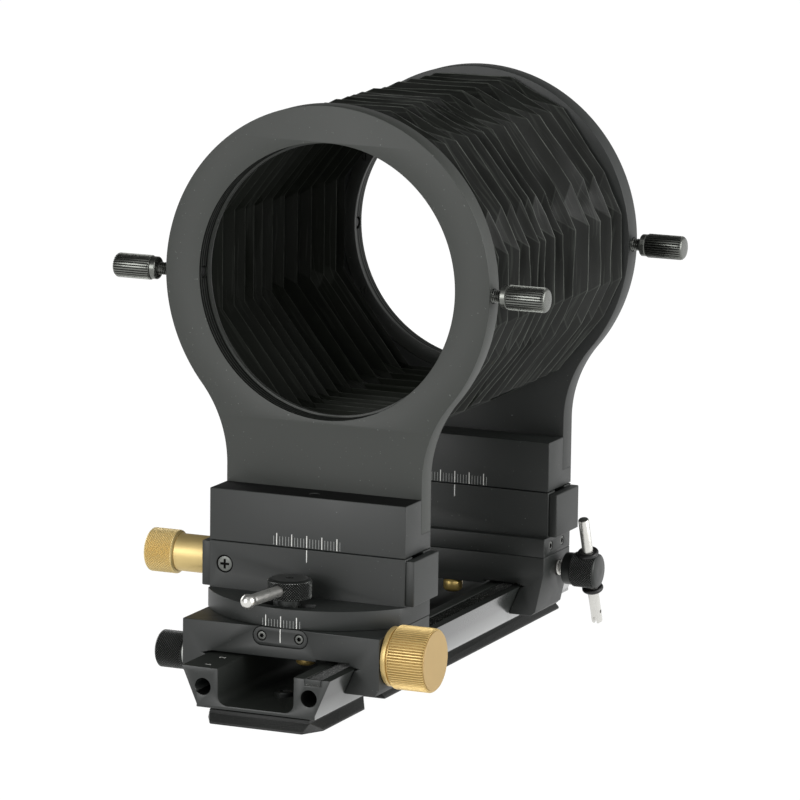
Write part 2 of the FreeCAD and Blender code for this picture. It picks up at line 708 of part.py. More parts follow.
def thumbscrew(sign, y):
    """Radial screw through the ring: socket for the tip inside, fluted head outside."""
    start = ring_bore_d / 2 + thumb_set_back + thumb_pad_l
    stem = ring_d / 2 + thumb_neck - start
    steps = [(stem, thumb_d / 2, thumb_d / 2),
             (thumb_collar_edge, thumb_collar_d / 2 - thumb_collar_edge, thumb_collar_d / 2),
             (thumb_collar_l, thumb_collar_d / 2, thumb_collar_d / 2)]
    centre = V(sign * start, y, thumb_z)
    out = X * sign
    stemmed = turned(steps, centre, out)
    stemmed = stemmed.cut(rod(centre, out, thumb_spigot_d / 2 + shaft_gap, thumb_spigot_l + rest_gap))
    head_at = centre + out * (stem + thumb_collar_edge + thumb_collar_l)
    grip = fluted(thumb_head_d / 2, thumb_flute_depth, thumb_flutes, head_at, out, thumb_head_l)
    tip_r = thumb_head_d / 2 - thumb_flute_depth
    end = turned([(thumb_end_t, tip_r, tip_r - thumb_end_t)], head_at + out * thumb_head_l, out)
    return stemmed.fuse([grip, end])


def finish_standard(side, y_front, bezel_at_back):
    block = standard(side, y_front)
    y0 = y_front + plate_back
    plate, seat_y = ring_plate(y0, bezel_at_back)
    thumb_y = y0 + thumb_back if bezel_at_back else y0 + ring_t - thumb_back
    for name, sign in (("left", -1), ("right", 1)):
        plate = plate.cut(rod(V(sign * (ring_bore_d / 2 - 2), thumb_y, thumb_z), X * sign,
                              thumb_d / 2 + shaft_gap, ring_d / 2))
        sink_r = thumb_sink_d / 2 + 1
        plate = plate.cut(turned([(sink_r - thumb_d / 2, sink_r, thumb_d / 2)],
                                 V(sign * (ring_d / 2 + 1), thumb_y, thumb_z), X * -sign))
        keep(side + "_thumbscrew_" + name, thumbscrew(sign, thumb_y))
        keep(side + "_thumbscrew_tip_" + name, thumb_pad(sign, thumb_y))
    bezel = rod(V(0, seat_y, ring_centre_z), Y, clamp_ring_od / 2, clamp_ring_t)
    bezel = bezel.cut(rod(V(0, seat_y - 1, ring_centre_z), Y, clamp_ring_id / 2, clamp_ring_t + 2))
    into = Y if not bezel_at_back else Y * -1
    face_y = seat_y if not bezel_at_back else seat_y + clamp_ring_t
    small = []
    mean = (clamp_ring_id + clamp_ring_od) / 4
    for i in range(bezel_screws):
        a = math.radians(360.0 * (i + 0.5) / bezel_screws)
        small.append(countersunk(V(mean * math.cos(a), face_y, ring_centre_z + mean * math.sin(a)), into,
                                 bezel_screw_d, bezel_screw_d / 2, clamp_ring_t + 2.0))
    for screw in small:
        bezel = bezel.cut(screw)
        plate = plate.cut(screw)
    keep(side + "_clamp_ring_screws", Part.makeCompound(small))
    keep(side + "_clamp_ring", bezel)
    fixing = []
    for sign in (-1, 1):
        head_at = V(sign * ring_screw_x, y_front + standard_depth, shift_z + rabbet_h + ring_screw_up)
        fixing.append(countersunk(head_at, Y * -1, ring_screw_head_d, ring_screw_d,
                                  ring_screw_l + ring_t / 2))
    for screw in fixing:
        plate = plate.cut(screw)
        block = block.cut(screw)
    keep(side + "_ring_screws", Part.makeCompound(fixing))
    keep(side + "_ring_plate", plate)
    keep(side + "_shift_block", block)
    return y0


front_plate_y = finish_standard("front", front_standard_y, True)
rear_plate_y = finish_standard("rear", rear_standard_y, False)

# ---------------------------------------------------------------- focus drive
# pinion: trapezoid teeth, a tooth pointing straight down into a rack gap
pts = []
r_tip, r_root = pitch_r + gear_module, pitch_r - 1.15 * gear_module
for i in range(pinion_teeth):
    base = -math.pi / 2 + 2 * math.pi * i / pinion_teeth
    for share, r in ((-root_share, r_root), (-pitch_share, pitch_r), (-tip_share, r_tip),
                     (tip_share, r_tip), (pitch_share, pitch_r), (root_share, r_root)):
        a = base + share * 2 * math.pi / pinion_teeth
        pts.append(V(rack_x - rack_w / 2, pinion_y + r * math.cos(a), pinion_z + r * math.sin(a)))
teeth = face(pts).extrude(V(rack_w, 0, 0))
knob_x = half_w + rest_gap
shaft = rod(V(shaft_start, pinion_y, pinion_z), X, shaft_d / 2, knob_x + focus_knob_bore - shaft_start)
pinion = teeth.fuse(shaft)
keep("focus_pinion", pinion)
collar = turned([(focus_flange_c, focus_flange_d / 2 - focus_flange_c, focus_flange_d / 2),
                 (focus_flange_t - focus_flange_c, focus_flange_d / 2, focus_flange_d / 2)],
                V(knob_x, pinion_y, pinion_z), X)
grip = fluted(focus_knob_d / 2, focus_flute_depth, focus_knob_flutes,
              V(knob_x + focus_flange_t, pinion_y, pinion_z), X, focus_body_l)
end = turned([(focus_end_t, focus_knob_d / 2 - focus_flute_depth, focus_end_d / 2)],
             V(knob_x + focus_flange_t + focus_body_l, pinion_y, pinion_z), X)
keep("focus_knob", collar.fuse([grip, end]).cut(shaft))

# ---------------------------------------------------------------- carriage lock
tip_x = rail_half_width(lock_z + lock_stud_d / 2) + lock_tip_gap
knob_x = -half_w - rest_gap
stud = rod(V(-tip_x, lock_y, lock_z), X * -1, lock_stud_d / 2, -knob_x - tip_x + carriage_knob_l / 2)
keep("carriage_lock_stud", stud)
r = carriage_knob_d / 2
knob = turned([(carriage_knob_collar_l, carriage_knob_collar_d / 2, carriage_knob_collar_d / 2),
               (knob_edge, r - knob_edge, r),
               (carriage_knob_l - carriage_knob_collar_l - 2 * knob_edge, r, r),
               (knob_edge, r, r - knob_edge)],
              V(knob_x, lock_y, lock_z), X * -1)
keep("carriage_lock_knob", knob.cut(stud))

# ---------------------------------------------------------------- swing lock with its lever
knob_z = swing_top_z + rest_gap
stud = rod(V(0, swing_lock_y, carriage_top_z - swing_lock_depth), Z, lock_stud_d / 2,
           knob_z - carriage_top_z + swing_lock_depth + swing_knob_neck_h + swing_knob_h / 2)
keep("swing_lock_stud", stud)
r = swing_knob_d / 2
knob = turned([(swing_knob_neck_h, swing_knob_neck_d / 2, swing_knob_neck_d / 2),
               (knob_edge, r - knob_edge, r), (swing_knob_h - 2 * knob_edge, r, r),
               (knob_edge, r, r - knob_edge)], V(0, swing_lock_y, knob_z), Z)
lever_z = knob_z + swing_knob_neck_h + lever_height
aim = V(-math.sin(math.radians(lever_turn)), -math.cos(math.radians(lever_turn)), 0)
seat = V(0, swing_lock_y, lever_z) + aim * (r * 0.5)
lever = rod(seat, aim, lever_d / 2, lever_reach - r * 0.5)
knob = knob.cut(stud).cut(lever)
ball = Part.makeSphere(lever_ball_d / 2, V(0, swing_lock_y, lever_z) + aim * lever_reach)
keep("swing_lock_knob", knob)
keep("swing_lock_lever", lever.fuse(ball))

# ---------------------------------------------------------------- clamp knob with sliding bar
stud_x = half_w - clamp_reach + shaft_gap
knob_x = half_w + clamp_neck
stud = rod(V(stud_x, clamp_y, clamp_z), X, lock_stud_d / 2, knob_x - stud_x + clamp_collar_l)
keep("clamp_stud", stud)
r = clamp_knob_d / 2
collar_r = clamp_collar_d / 2
knob = turned([(knob_edge, collar_r - knob_edge, collar_r),
               (clamp_collar_l - knob_edge, collar_r, collar_r),
               (clamp_knob_l, r, r), (clamp_cap_t, r, r - clamp_cap_t)],
              V(knob_x, clamp_y, clamp_z), X)
bar_x = knob_x + clamp_collar_l + clamp_knob_l + clamp_cap_t - bar_from_end
down = V(0, math.sin(math.radians(bar_tilt)), -math.cos(math.radians(bar_tilt)))
hub = V(bar_x, clamp_y, clamp_z)
bar = turned([(bar_edge, bar_d / 2 - bar_edge, bar_d / 2), (bar_l - bar_edge, bar_d / 2, bar_d / 2)],
             hub - down * (bar_l / 2), down)
knob = knob.cut(stud).cut(rod(hub - down * bar_l, down, bar_d / 2, 2 * bar_l))
notch = Part.makeBox(bar_slot_w, bar_d + 2, bar_slot_depth + 1)
notch.Placement = FreeCAD.Placement(V(-bar_slot_w / 2, -bar_d / 2 - 1, 0), FreeCAD.Rotation())
turn = FreeCAD.Placement(hub + down * (bar_l / 2 - bar_slot_depth), FreeCAD.Rotation(Z, down))
notch = notch.transformGeometry(turn.toMatrix())
bar = bar.cut(notch)
bar = bar.cut(rod(hub + down * (bar_l / 2 - bar_hole_up) - X * bar_d, X, bar_hole_d / 2, 2 * bar_d))
keep("clamp_bar", bar)
keep("clamp_knob", knob)
rings = []
for s in (-1, 1):
    at = hub + down * (s * (r + ring_thick / 2 + shaft_gap))
    rings.append(Part.makeTorus(bar_d / 2 + ring_thick / 2, ring_thick / 2, at, down))
keep("clamp_bar_rings", Part.makeCompound(rings))


# ---------------------------------------------------------------- bellows
def fold_ring(y, ridge, inset):
    """Corner points of one crease, counter-clockwise: eight for a valley, sixteen for a ridge."""
    if ridge:
        slant = (valley_w - valley_side) / (valley_w - valley_top)
        ridge_up_z = ridge_out_z + (ridge_out_x - ridge_up_x) * slant
        quarter = [(ridge_w, ridge_side), (ridge_out_x, ridge_out_z), (ridge_up_x, ridge_up_z),
                   (ridge_top, ridge_h)]
    else:
        quarter = [(valley_w, valley_side), (valley_top, valley_w)]
    half = quarter + [(-x, z) for x, z in reversed(quarter)]
    shrink = 1 - inset / ridge_w
    return [V(x * shrink, y, ring_centre_z + z * shrink)
            for x, z in half + [(-x, -z) for x, z in half]]


def fold_faces(ridge_pts, valley_pts):
    """Eight flats and eight corner gussets between a ridge and a valley."""
    faces = []
    for i in range(8):
        a, b, c = ridge_pts[2 * i - 1], ridge_pts[2 * i], ridge_pts[(2 * i + 1) % 16]
        lo, hi = valley_pts[i - 1], valley_pts[i]
        faces.append(face([a, b, hi, lo]))
        faces.append(face([b, c, hi]))
    return faces


bellows_start = front_plate_y + ring_t + soft_gap
bellows_end = rear_plate_y - soft_gap
half_pleat = (bellows_end - bellows_start) / (2 * pleats)
skins = []
for inset in (0.0, fabric_t):
    for i in range(2 * pleats):
        ya, yb = bellows_start + i * half_pleat, bellows_start + (i + 1) * half_pleat
        if i % 2 == 0:
            skins += fold_faces(fold_ring(yb, True, inset), fold_ring(ya, False, inset))
        else:
            skins += fold_faces(fold_ring(ya, True, inset), fold_ring(yb, False, inset))
for y in (bellows_start, bellows_end):
    rim, hole = fold_ring(y, False, 0.0), fold_ring(y, False, fabric_t)
    for i in range(8):
        skins.append(face([rim[i - 1], rim[i], hole[i], hole[i - 1]]))
bellows = Part.Solid(Part.makeShell(skins))
if bellows.Volume < 0:
    bellows = bellows.reversed()
keep("bellows", bellows)

# ---------------------------------------------------------------- write the parts
for name, shape in NODES.items():
    for solid in shape.Solids:
        if not solid.isValid() or solid.Volume <= 0:
            raise ValueError("bad solid in " + name)
    if len(shape.Solids) == 1:
        shape = shape.Solids[0]
    shape.exportStep("parts/" + name + ".step")
print(len(NODES), "parts")
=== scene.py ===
import bpy
import bmesh
import json
import math
from mathutils import Matrix, Vector, geometry, noise

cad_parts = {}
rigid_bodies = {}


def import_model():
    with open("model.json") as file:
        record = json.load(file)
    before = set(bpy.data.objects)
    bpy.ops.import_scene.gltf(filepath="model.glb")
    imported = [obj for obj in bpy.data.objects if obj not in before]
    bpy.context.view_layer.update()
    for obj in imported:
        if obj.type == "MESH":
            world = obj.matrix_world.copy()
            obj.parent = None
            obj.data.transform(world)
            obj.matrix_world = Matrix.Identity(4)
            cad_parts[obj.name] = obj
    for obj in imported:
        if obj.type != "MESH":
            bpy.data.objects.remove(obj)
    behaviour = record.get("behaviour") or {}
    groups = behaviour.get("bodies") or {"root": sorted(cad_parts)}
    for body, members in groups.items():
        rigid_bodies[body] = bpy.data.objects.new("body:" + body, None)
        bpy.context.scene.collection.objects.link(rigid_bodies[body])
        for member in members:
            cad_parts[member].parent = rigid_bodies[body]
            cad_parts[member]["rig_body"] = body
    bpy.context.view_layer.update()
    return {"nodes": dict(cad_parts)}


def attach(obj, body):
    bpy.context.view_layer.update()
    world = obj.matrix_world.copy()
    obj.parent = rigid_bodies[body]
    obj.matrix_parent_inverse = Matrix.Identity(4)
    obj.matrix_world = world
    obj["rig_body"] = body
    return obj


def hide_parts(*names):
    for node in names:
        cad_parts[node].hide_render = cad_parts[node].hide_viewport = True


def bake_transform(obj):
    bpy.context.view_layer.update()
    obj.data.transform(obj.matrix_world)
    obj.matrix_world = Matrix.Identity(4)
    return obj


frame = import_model()
scene = bpy.context.scene
scene.view_settings.view_transform = "Standard"
nodes = frame["nodes"]
MM = 0.001
TURN = 2 * math.pi
X, Y, Z = (1, 0, 0), (0, 1, 0), (0, 0, 1)
SIDES = ((-1, "left"), (1, "right"))

# ------------------------------------------------------------ places shared with the CAD, mm
FRONT_Y, REAR_Y = -64.5, 48.8           # front faces of the two standards
DEPTH = 19.0
HALF_W = 32.5                           # carriages, guides and blocks, each side
SWING_Y, SWING_R = -43.7, 39.0          # axis of the swing and radius of its scale
SWING_Z0, SWING_Z1 = 27.4, 33.35
GUIDE_Z1, BLOCK_Z0 = 47.95, 48.2
RABBET_Z = 53.5                         # lower edge of the ring plates
RING_Z, RING_R, BORE_R, RING_T = 127.9, 53.6, 42.2, 7.2
NECK_R = 38.0
SEAT_R, CLAMP_T = 46.0, 1.5             # clamp rings in their seats
CLAMP_HOLES_R = 43.75
PLATE_SCREW_X, PLATE_SCREW_Z = 22.0, RABBET_Z + 5.0
THUMB_IN, THUMB_Z = 3.3, RING_Z - 0.4   # thumbscrews, in from the ring's outer face
LEAD_IN, LEAD_Z = 9.6, 40.9             # lead screws, in from the standard's front face
GUIDE_SCREW_X = -27.4
SPACER_SCREW_Y, SPACER_SCREW_Z = (51.8, 61.3), 30.32
INDEX_Y, INDEX_SCREW_X, INDEX_SCREW_Z = -82.9, 6.15, 24.55
CHANNEL_X, CHANNEL_Z = 12.6, 5.5        # rail
END_HOLE_X, END_HOLE_Z, END_HOLE_R = 17.4, 11.3, 2.75
FLANK_X, RAIL_TOP_Z = 19.0, 17.25
FOOT_SCREW_Y = (-80.14, -61.99, -33.4, 23.0, 79.4)
WELL_Y, WELL_Z = -59.2, 63.0            # set screw in the top of the front block
FOCUS = (32.6, -74.0, 20.5)             # where the knobs begin
CARRIAGE_LOCK = (-32.6, -70.5, 14.1)
SWING_LOCK_Y, SWING_LOCK_Z, LEVER_Z = -76.5, 33.45, 38.55
CLAMP_Y, CLAMP_Z, CLAMP_X, HUB_X = 59.0, 21.9, 35.0, 43.3
SHIFT_KNOB_X = -56.6
STANDARDS = {"front": FRONT_Y, "rear": REAR_Y}
GUIDE_BODY = {"front": "swing_stage", "rear": "rear_carriage"}


def ring_y(side):
    """Front face of a ring plate."""
    return STANDARDS[side] + DEPTH - RING_T


def thumb_y(side):
    """The thumbscrews' place along the rail."""
    return ring_y(side) + (THUMB_IN if side == "front" else RING_T - THUMB_IN)


# ------------------------------------------------------------ mesh helpers
def link(name, data):
    obj = bpy.data.objects.new(name, data)
    scene.collection.objects.link(obj)
    return obj


def add_mesh(name, verts, faces, marks=None):
    mesh = bpy.data.meshes.new(name)
    mesh.from_pydata([(x * MM, y * MM, z * MM) for x, y, z in verts], [], faces)
    if marks:
        mesh.polygons.foreach_set("material_index", marks)
    mesh.update()
    return link(name, mesh)


def attribute(obj, name, values):
    """A number at each vertex, which the materials read."""
    obj.data.attributes.new(name, "FLOAT", "POINT").data.foreach_set("value", values)


def shade(obj, angle):
    obj.data.shade_smooth()
    obj.data.set_sharp_from_angle(angle=math.radians(angle))


def baked(obj):
    """An object's mesh as its modifiers leave it."""
    graph = bpy.context.evaluated_depsgraph_get()
    return bpy.data.meshes.new_from_object(obj.evaluated_get(graph))


def settle(obj):
    mesh = baked(obj)
    obj.modifiers.clear()
    obj.data = mesh


def rework(mesh, *steps):
    bm = bmesh.new()
    bm.from_mesh(mesh)
    for step in steps:
        step(bm)
    bm.to_mesh(mesh)
    bm.free()


def weld(distance):
    return lambda bm: bmesh.ops.remove_doubles(bm, verts=bm.verts, dist=distance * MM)


def outward(bm):
    bmesh.ops.recalc_face_normals(bm, faces=bm.faces)


def merge_flats(bm):
    bmesh.ops.dissolve_limit(bm, angle_limit=math.radians(1), verts=bm.verts, edges=bm.edges)
    for face in bm.faces:
        face.material_index = 0


def cut(obj, *tools):
    for tool in tools:
        step = obj.modifiers.new("cut", "BOOLEAN")
        step.operation = "DIFFERENCE"
        step.solver = "EXACT"
        step.object = tool
    settle(obj)
    for tool in tools:
        bpy.data.objects.remove(tool)


def basis(direction):
    """Two unit vectors square to direction, and direction itself."""
    w = Vector(direction).normalized()
    side = Vector(Z) if abs(w.z) < 0.9 else Vector(Y)
    u = side.cross(w).normalized()
    return u, w.cross(u), w


def revolved(name, start, direction, profile, segments, dip, split=None):
    """Solid of revolution from (along, radius) points, with flat ends.

    dip(i, j) is taken off the radius; split(i, j) says which diagonal halves a face, or None."""
    u, v, w = basis(direction)
    verts, faces = [], []
    for j, (along, radius) in enumerate(profile):
        for i in range(segments):
            t = TURN * i / segments
            out = u * math.cos(t) + v * math.sin(t)
            verts.append(Vector(start) + w * along + out * max(radius - dip(i, j), 0.001))
    for j in range(len(profile) - 1):
        for i in range(segments):
            k = (i + 1) % segments
            low, high = j * segments, (j + 1) * segments
            a, b, c, d = low + i, low + k, high + k, high + i
            half = split(i, j) if split else None
            if half is None:
                faces.append((a, b, c, d))
            elif half:
                faces += [(a, b, c), (a, c, d)]
            else:
                faces += [(a, b, d), (b, c, d)]
    faces.append(tuple(reversed(range(segments))))
    faces.append(tuple(range(len(verts) - segments, len(verts))))
    return add_mesh(name, verts, faces)


def lathe(name, start, direction, profile, segments=64, relief=None):
    """Turned piece; relief(angle, along) is the depth of its grooves."""
    if not relief:
        return revolved(name, start, direction, profile, segments, lambda i, j: 0.0)
    depths = [[relief(TURN * i / segments, along) for i in range(segments)] for along, radius in profile]
    obj = revolved(name, start, direction, profile, segments, lambda i, j: depths[j][i])
    deepest = max(max(row) for row in depths)
    attribute(obj, "relief", [-depth / deepest for row in depths for depth in row])
    return obj


def knurled(name, start, direction, before, band, count, depth, after):
    """Turned piece with a band (low, high, radius) of diamond knurl, each diamond a small pyramid."""
    low, high, radius = band
    steps = 2 * max(1, round((high - low) / (TURN * radius / count)))
    profile = before + [(low + (high - low) * j / steps, radius) for j in range(steps + 1)] + after
    first, last = len(before), len(before) + steps

    def deep(i, j):
        return first <= j <= last and (i + j - first) % 2 == 0

    def split(i, j):
        return (i + j - first) % 2 == 0 if first <= j < last else None

    obj = revolved(name, start, direction, profile, 2 * count, lambda i, j: depth * deep(i, j), split)
    attribute(obj, "relief", [(-1.0 if deep(i, j) else 1.0) if first <= j <= last else 0.0
                              for j in range(len(profile)) for i in range(2 * count)])
    return obj


def flutes(count, depth, low, high, share):
    """Straight grooves with flat lands."""
    def relief(t, along):
        if not low <= along <= high:
            return 0.0
        x = abs((count * t / TURN) % 1.0 - 0.5) * 2
        return depth * min(1.0, max(0.0, (x - share) / (1 - share)) * 1.8)
    return relief


def thread(depth, pitch, low, high):
    """One V groove that winds round."""
    def relief(t, along):
        x = (along / pitch - t / TURN) % 1.0
        return depth * min(2 * x, 2 - 2 * x) if low < along < high else 0.0
    return relief


def spaced(low, high, step):
    n = max(1, round((high - low) / step))
    return [low + (high - low) * i / n for i in range(n + 1)]


def slab(name, loops, d0, d1, bevel, place):
    """Plate with holes: loops are closed 2D outlines with the material on their left."""
    def inset(loop, amount):
        out = []
        for i, at in enumerate(loop):
            p, q, r = Vector(loop[i - 1]), Vector(at), Vector(loop[(i + 1) % len(loop)])
            e, f = (q - p).normalized(), (r - q).normalized()
            m = Vector((-e.y - f.y, e.x + f.x))
            m = m / max(m.length_squared / 2, 1e-6)
            out.append(q + m * amount)
        return out

    levels = [(d0, bevel), (d0 + bevel * 0.3, bevel * 0.3), (d0 + bevel, 0.0),
              (d1 - bevel, 0.0), (d1 - bevel * 0.3, bevel * 0.3), (d1, bevel)]
    verts, faces, marks = [], [], []
    starts = []
    for loop in loops:
        n = len(loop)
        starts.append([])
        for depth, amount in levels:
            starts[-1].append(len(verts))
            verts += [place(p.x, p.y, depth) for p in inset(loop, amount)]
        for j in range(len(levels) - 1):
            a, b = starts[-1][j], starts[-1][j + 1]
            for i in range(n):
                k = (i + 1) % n
                faces.append((a + i, a + k, b + k, b + i))
                marks.append(0 if j == 2 else 1)
    flat = [[Vector((p.x, p.y, 0)) for p in inset(loop, bevel)] for loop in loops]
    triangles = geometry.tessellate_polygon(flat)
    for level, flip in ((0, True), (len(levels) - 1, False)):
        index = [start[level] + i for loop, start in zip(loops, starts) for i in range(len(loop))]
        for triangle in triangles:
            face = tuple(index[i] for i in triangle)
            faces.append(tuple(reversed(face)) if flip else face)
            marks.append(0)
    obj = add_mesh(name, verts, faces, marks)
    rework(obj.data, outward)
    return obj


def along_y(x, z, d):
    return (x, d, z)


def along_z(x, y, d):
    return (x, y, d)


def arc(cx, cy, r, a0, a1, n):
    """Points from angle a0 to a1, in degrees."""
    angles = [math.radians(a0 + (a1 - a0) * i / n) for i in range(n + 1)]
    return [(cx + r * math.cos(a), cy + r * math.sin(a)) for a in angles]


def circle(cx, cy, r, n, clockwise=False):
    points = arc(cx, cy, r, 0, 360, n)[:-1]
    return list(reversed(points)) if clockwise else points


def bar(name, x0, x1, y0, y1, z0, z1, bevel):
    return slab(name, [[(x0, z0), (x1, z0), (x1, z1), (x0, z1)]], y0, y1, bevel, along_y)


def boxed(name, near, far):
    """Box between two rings of four corners."""
    faces = [(0, 1, 2, 3), (7, 6, 5, 4), (0, 4, 5, 1), (1, 5, 6, 2), (2, 6, 7, 3), (3, 7, 4, 0)]
    obj = add_mesh(name, near + far, faces)
    rework(obj.data, outward)
    return obj


def cutter(name, a, b, width, height, w):
    """Plain bar between two points, centred on the surface whose normal is w."""
    side = (b - a).normalized().cross(w) * width / 2
    rings = [[end + side * s + w * (h * height / 2) for s, h in ((-1, -1), (1, -1), (1, 1), (-1, 1))]
             for end in (a, b)]
    return boxed(name, *rings)


def torus(name, centre, axis, major, minor, n, m):
    u, v, w = basis(axis)
    verts, faces = [], []
    for i in range(n):
        out = u * math.cos(TURN * i / n) + v * math.sin(TURN * i / n)
        for j in range(m):
            p = TURN * j / m
            verts.append(centre + out * (major + minor * math.cos(p)) + w * (minor * math.sin(p)))
            k, q = (i + 1) % n, (j + 1) % m
            faces.append((i * m + j, k * m + j, k * m + q, i * m + q))
    obj = add_mesh(name, verts, faces)
    rework(obj.data, outward)
    return obj


def finish(obj, body, finish_name, *replaced, edge=None, angle=34):
    """Material, shading and body of a new piece."""
    obj.data.materials.clear()
    obj.data.materials.append(material[finish_name])
    if edge:
        obj.data.materials.append(material[edge])
    else:
        obj.data.polygons.foreach_set("material_index", [0] * len(obj.data.polygons))
    if angle:
        shade(obj, angle)
    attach(obj, body)
    if replaced:
        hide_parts(*replaced)


def turned(name, start, direction, profile, segments, body, finish_name, *replaced, relief=None, angle=34):
    """Turned piece with its finish."""
    obj = lathe(name, start, direction, profile, segments, relief)
    finish(obj, body, finish_name, *replaced, angle=angle)


def mark(obj, *extras):
    """Gives some faces of a piece another finish: extras are (test(at, normal), finish)."""
    for test, finish_name in extras:
        index = len(obj.data.materials)
        obj.data.materials.append(material[finish_name])
        for face in obj.data.polygons:
            if test(face.center / MM, face.normal):
                face.material_index = index


def near_line(x, y, z, axis, radius):
    """Faces round a line along one axis that aren't square to it."""
    centre = (x, y, z)
    a, b = [i for i in range(3) if i != axis]

    def test(at, normal):
        off = math.hypot(at[a] - centre[a], at[b] - centre[b])
        return off < radius and abs(at[axis] - centre[axis]) < 3.0 and abs(normal[axis]) < 0.95
    return test


def bevelled(name, *extras, width=0.25, finish_name="black", edge="edge_wear_and_highlight"):
    """A CAD node's own shape with its edges broken, in place of it."""
    mesh = nodes[name].data.copy()
    rework(mesh, weld(0.002), merge_flats)
    obj = link(name + "_finished", mesh)
    obj.data.materials.clear()
    for word in (finish_name, edge):
        obj.data.materials.append(material[word])
    step = obj.modifiers.new("edges", "BEVEL")
    step.width = width * MM
    step.segments = 2
    step.limit_method = "ANGLE"
    step.angle_limit = math.radians(35)
    step.use_clamp_overlap = False
    # The bevel faces take the second, lighter finish: partly edge wear, partly a painted highlight.
    step.material = 1
    settle(obj)
    finish(obj, nodes[name]["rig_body"], finish_name, name, edge=edge, angle=30)
    mark(obj, *extras)


# ------------------------------------------------------------ materials
material = {}


def give(nt, socket, value):
    """Links an output to an input, or sets the input to a plain value."""
    if isinstance(value, bpy.types.NodeSocket):
        nt.links.new(value, socket)
    else:
        socket.default_value = value


def feed(nt, n, **values):
    """Sets a node's properties, and its inputs by name."""
    for key, value in values.items():
        if hasattr(n, key):
            setattr(n, key, value)
        else:
            give(nt, n.inputs[key.replace("_", " ")], value)
    return n


def node(nt, kind, **values):
    return feed(nt, nt.nodes.new("ShaderNode" + kind), **values)


def maths(nt, operation, *values):
    n = node(nt, "Math", operation=operation)
    for socket, value in zip(n.inputs, values):
        give(nt, socket, value)
    return n.outputs[0]


def mapped(nt, source, low, high, start=0.0, end=1.0):
    """source carried from the range start to end over to the range low to high."""
    n = node(nt, "MapRange", Value=source, From_Min=start, From_Max=end, To_Min=low, To_Max=high)
    return n.outputs["Result"]


def srgb(*colour):
    def linear(c):
        c = c / 255
        return c / 12.92 if c <= 0.04045 else ((c + 0.055) / 1.055) ** 2.4
    return (*map(linear, colour), 1)


def blended(nt, factor, first, second):
    """From first to second by a factor; each is an output or an sRGB colour."""
    n = node(nt, "Mix", data_type="RGBA")
    for index, value in ((0, factor), (6, first), (7, second)):
        give(nt, n.inputs[index], srgb(*value) if isinstance(value, tuple) else value)
    return n.outputs[2]


def on_object(nt):
    """The place on the object, which every grain follows."""
    return node(nt, "TexCoord").outputs["Object"]


def grain(nt, at, scale, detail, rough=0.6):
    return node(nt, "TexNoise", Vector=at, Scale=scale, Detail=detail, Roughness=rough).outputs["Fac"]


def surface(name):
    """New material; returns its node tree and its shader."""
    mat = bpy.data.materials.new(name)
    mat.use_nodes = True
    material[name] = mat
    nt = mat.node_tree
    return nt, nt.nodes["Principled BSDF"]


def dress(nt, shader, colour, height, strength, distance, **values):
    """Gives a shader its colour, its bump, with the distance in mm, and other values."""
    bump = node(nt, "Bump", Strength=strength, Distance=distance * MM, Height=height)
    feed(nt, shader, Base_Color=colour, Normal=bump.outputs["Normal"], **values)


def metal(name, dark, light, rough, bump, blast, metallic=0.0, specular=0.5, patch=60.0, coat=0.0,
          crest=None, groove=None, specks=None, painted_floor_reflection=None):
    """Blasted or turned metal: fine grain, patchy colour and roughness.

    crest and groove tint what the relief attribute marks: painted highlights on the crests of knurls and
    flutes and painted shade in their grooves. specks is where small worn spots start and end, and
    painted_floor_reflection is (top, foot, colour) for a flank that pales towards its foot, a painted
    reflection of the pale floor."""
    nt, shader = surface(name)
    at = on_object(nt)
    fine = grain(nt, at, blast, 2.0)
    broad = grain(nt, at, patch, 4.0)
    colour = blended(nt, broad, dark, light)
    if specks:
        worn = grain(nt, at, 1300.0, 1.0, 0.5)
        colour = blended(nt, mapped(nt, worn, 0.0, 0.35, *specks), colour, (150, 153, 149))
    # Painted highlight on the crests and painted shade in the grooves.
    for start, end, tint in ((0.5, 1.0, crest), (-0.35, -0.95, groove)):
        if tint:
            relief = node(nt, "Attribute", attribute_name="relief").outputs["Fac"]
            colour = blended(nt, mapped(nt, relief, 0.0, 1.0, start, end), colour, tint)
    # Painted reflection of the floor on the lower part of a flank.
    if painted_floor_reflection:
        top, foot, tint = painted_floor_reflection
        height = node(nt, "SeparateXYZ", Vector=at).outputs["Z"]
        colour = blended(nt, mapped(nt, height, 0.0, 1.0, top * MM, foot * MM), colour, tint)
    patchy = mapped(nt, maths(nt, "MULTIPLY_ADD", fine, 0.5, broad), rough - 0.07, rough + 0.07)
    dress(nt, shader, colour, fine, 0.6, bump, Roughness=patchy, Metallic=metallic,
          Specular_IOR_Level=specular, Coat_Weight=coat, Coat_Roughness=0.16)


def speckled(name, dark, light, scale, low, high, rough, bump):
    """Rough dark metal with small light specks where its high spots are rubbed."""
    nt, shader = surface(name)
    at = on_object(nt)
    spots = grain(nt, at, scale, 3.0, 0.7)
    colour = blended(nt, mapped(nt, spots, 0.0, 1.0, low, high), dark, light)
    dress(nt, shader, colour, spots, 0.7, bump, Roughness=rough, Specular_IOR_Level=0.4)


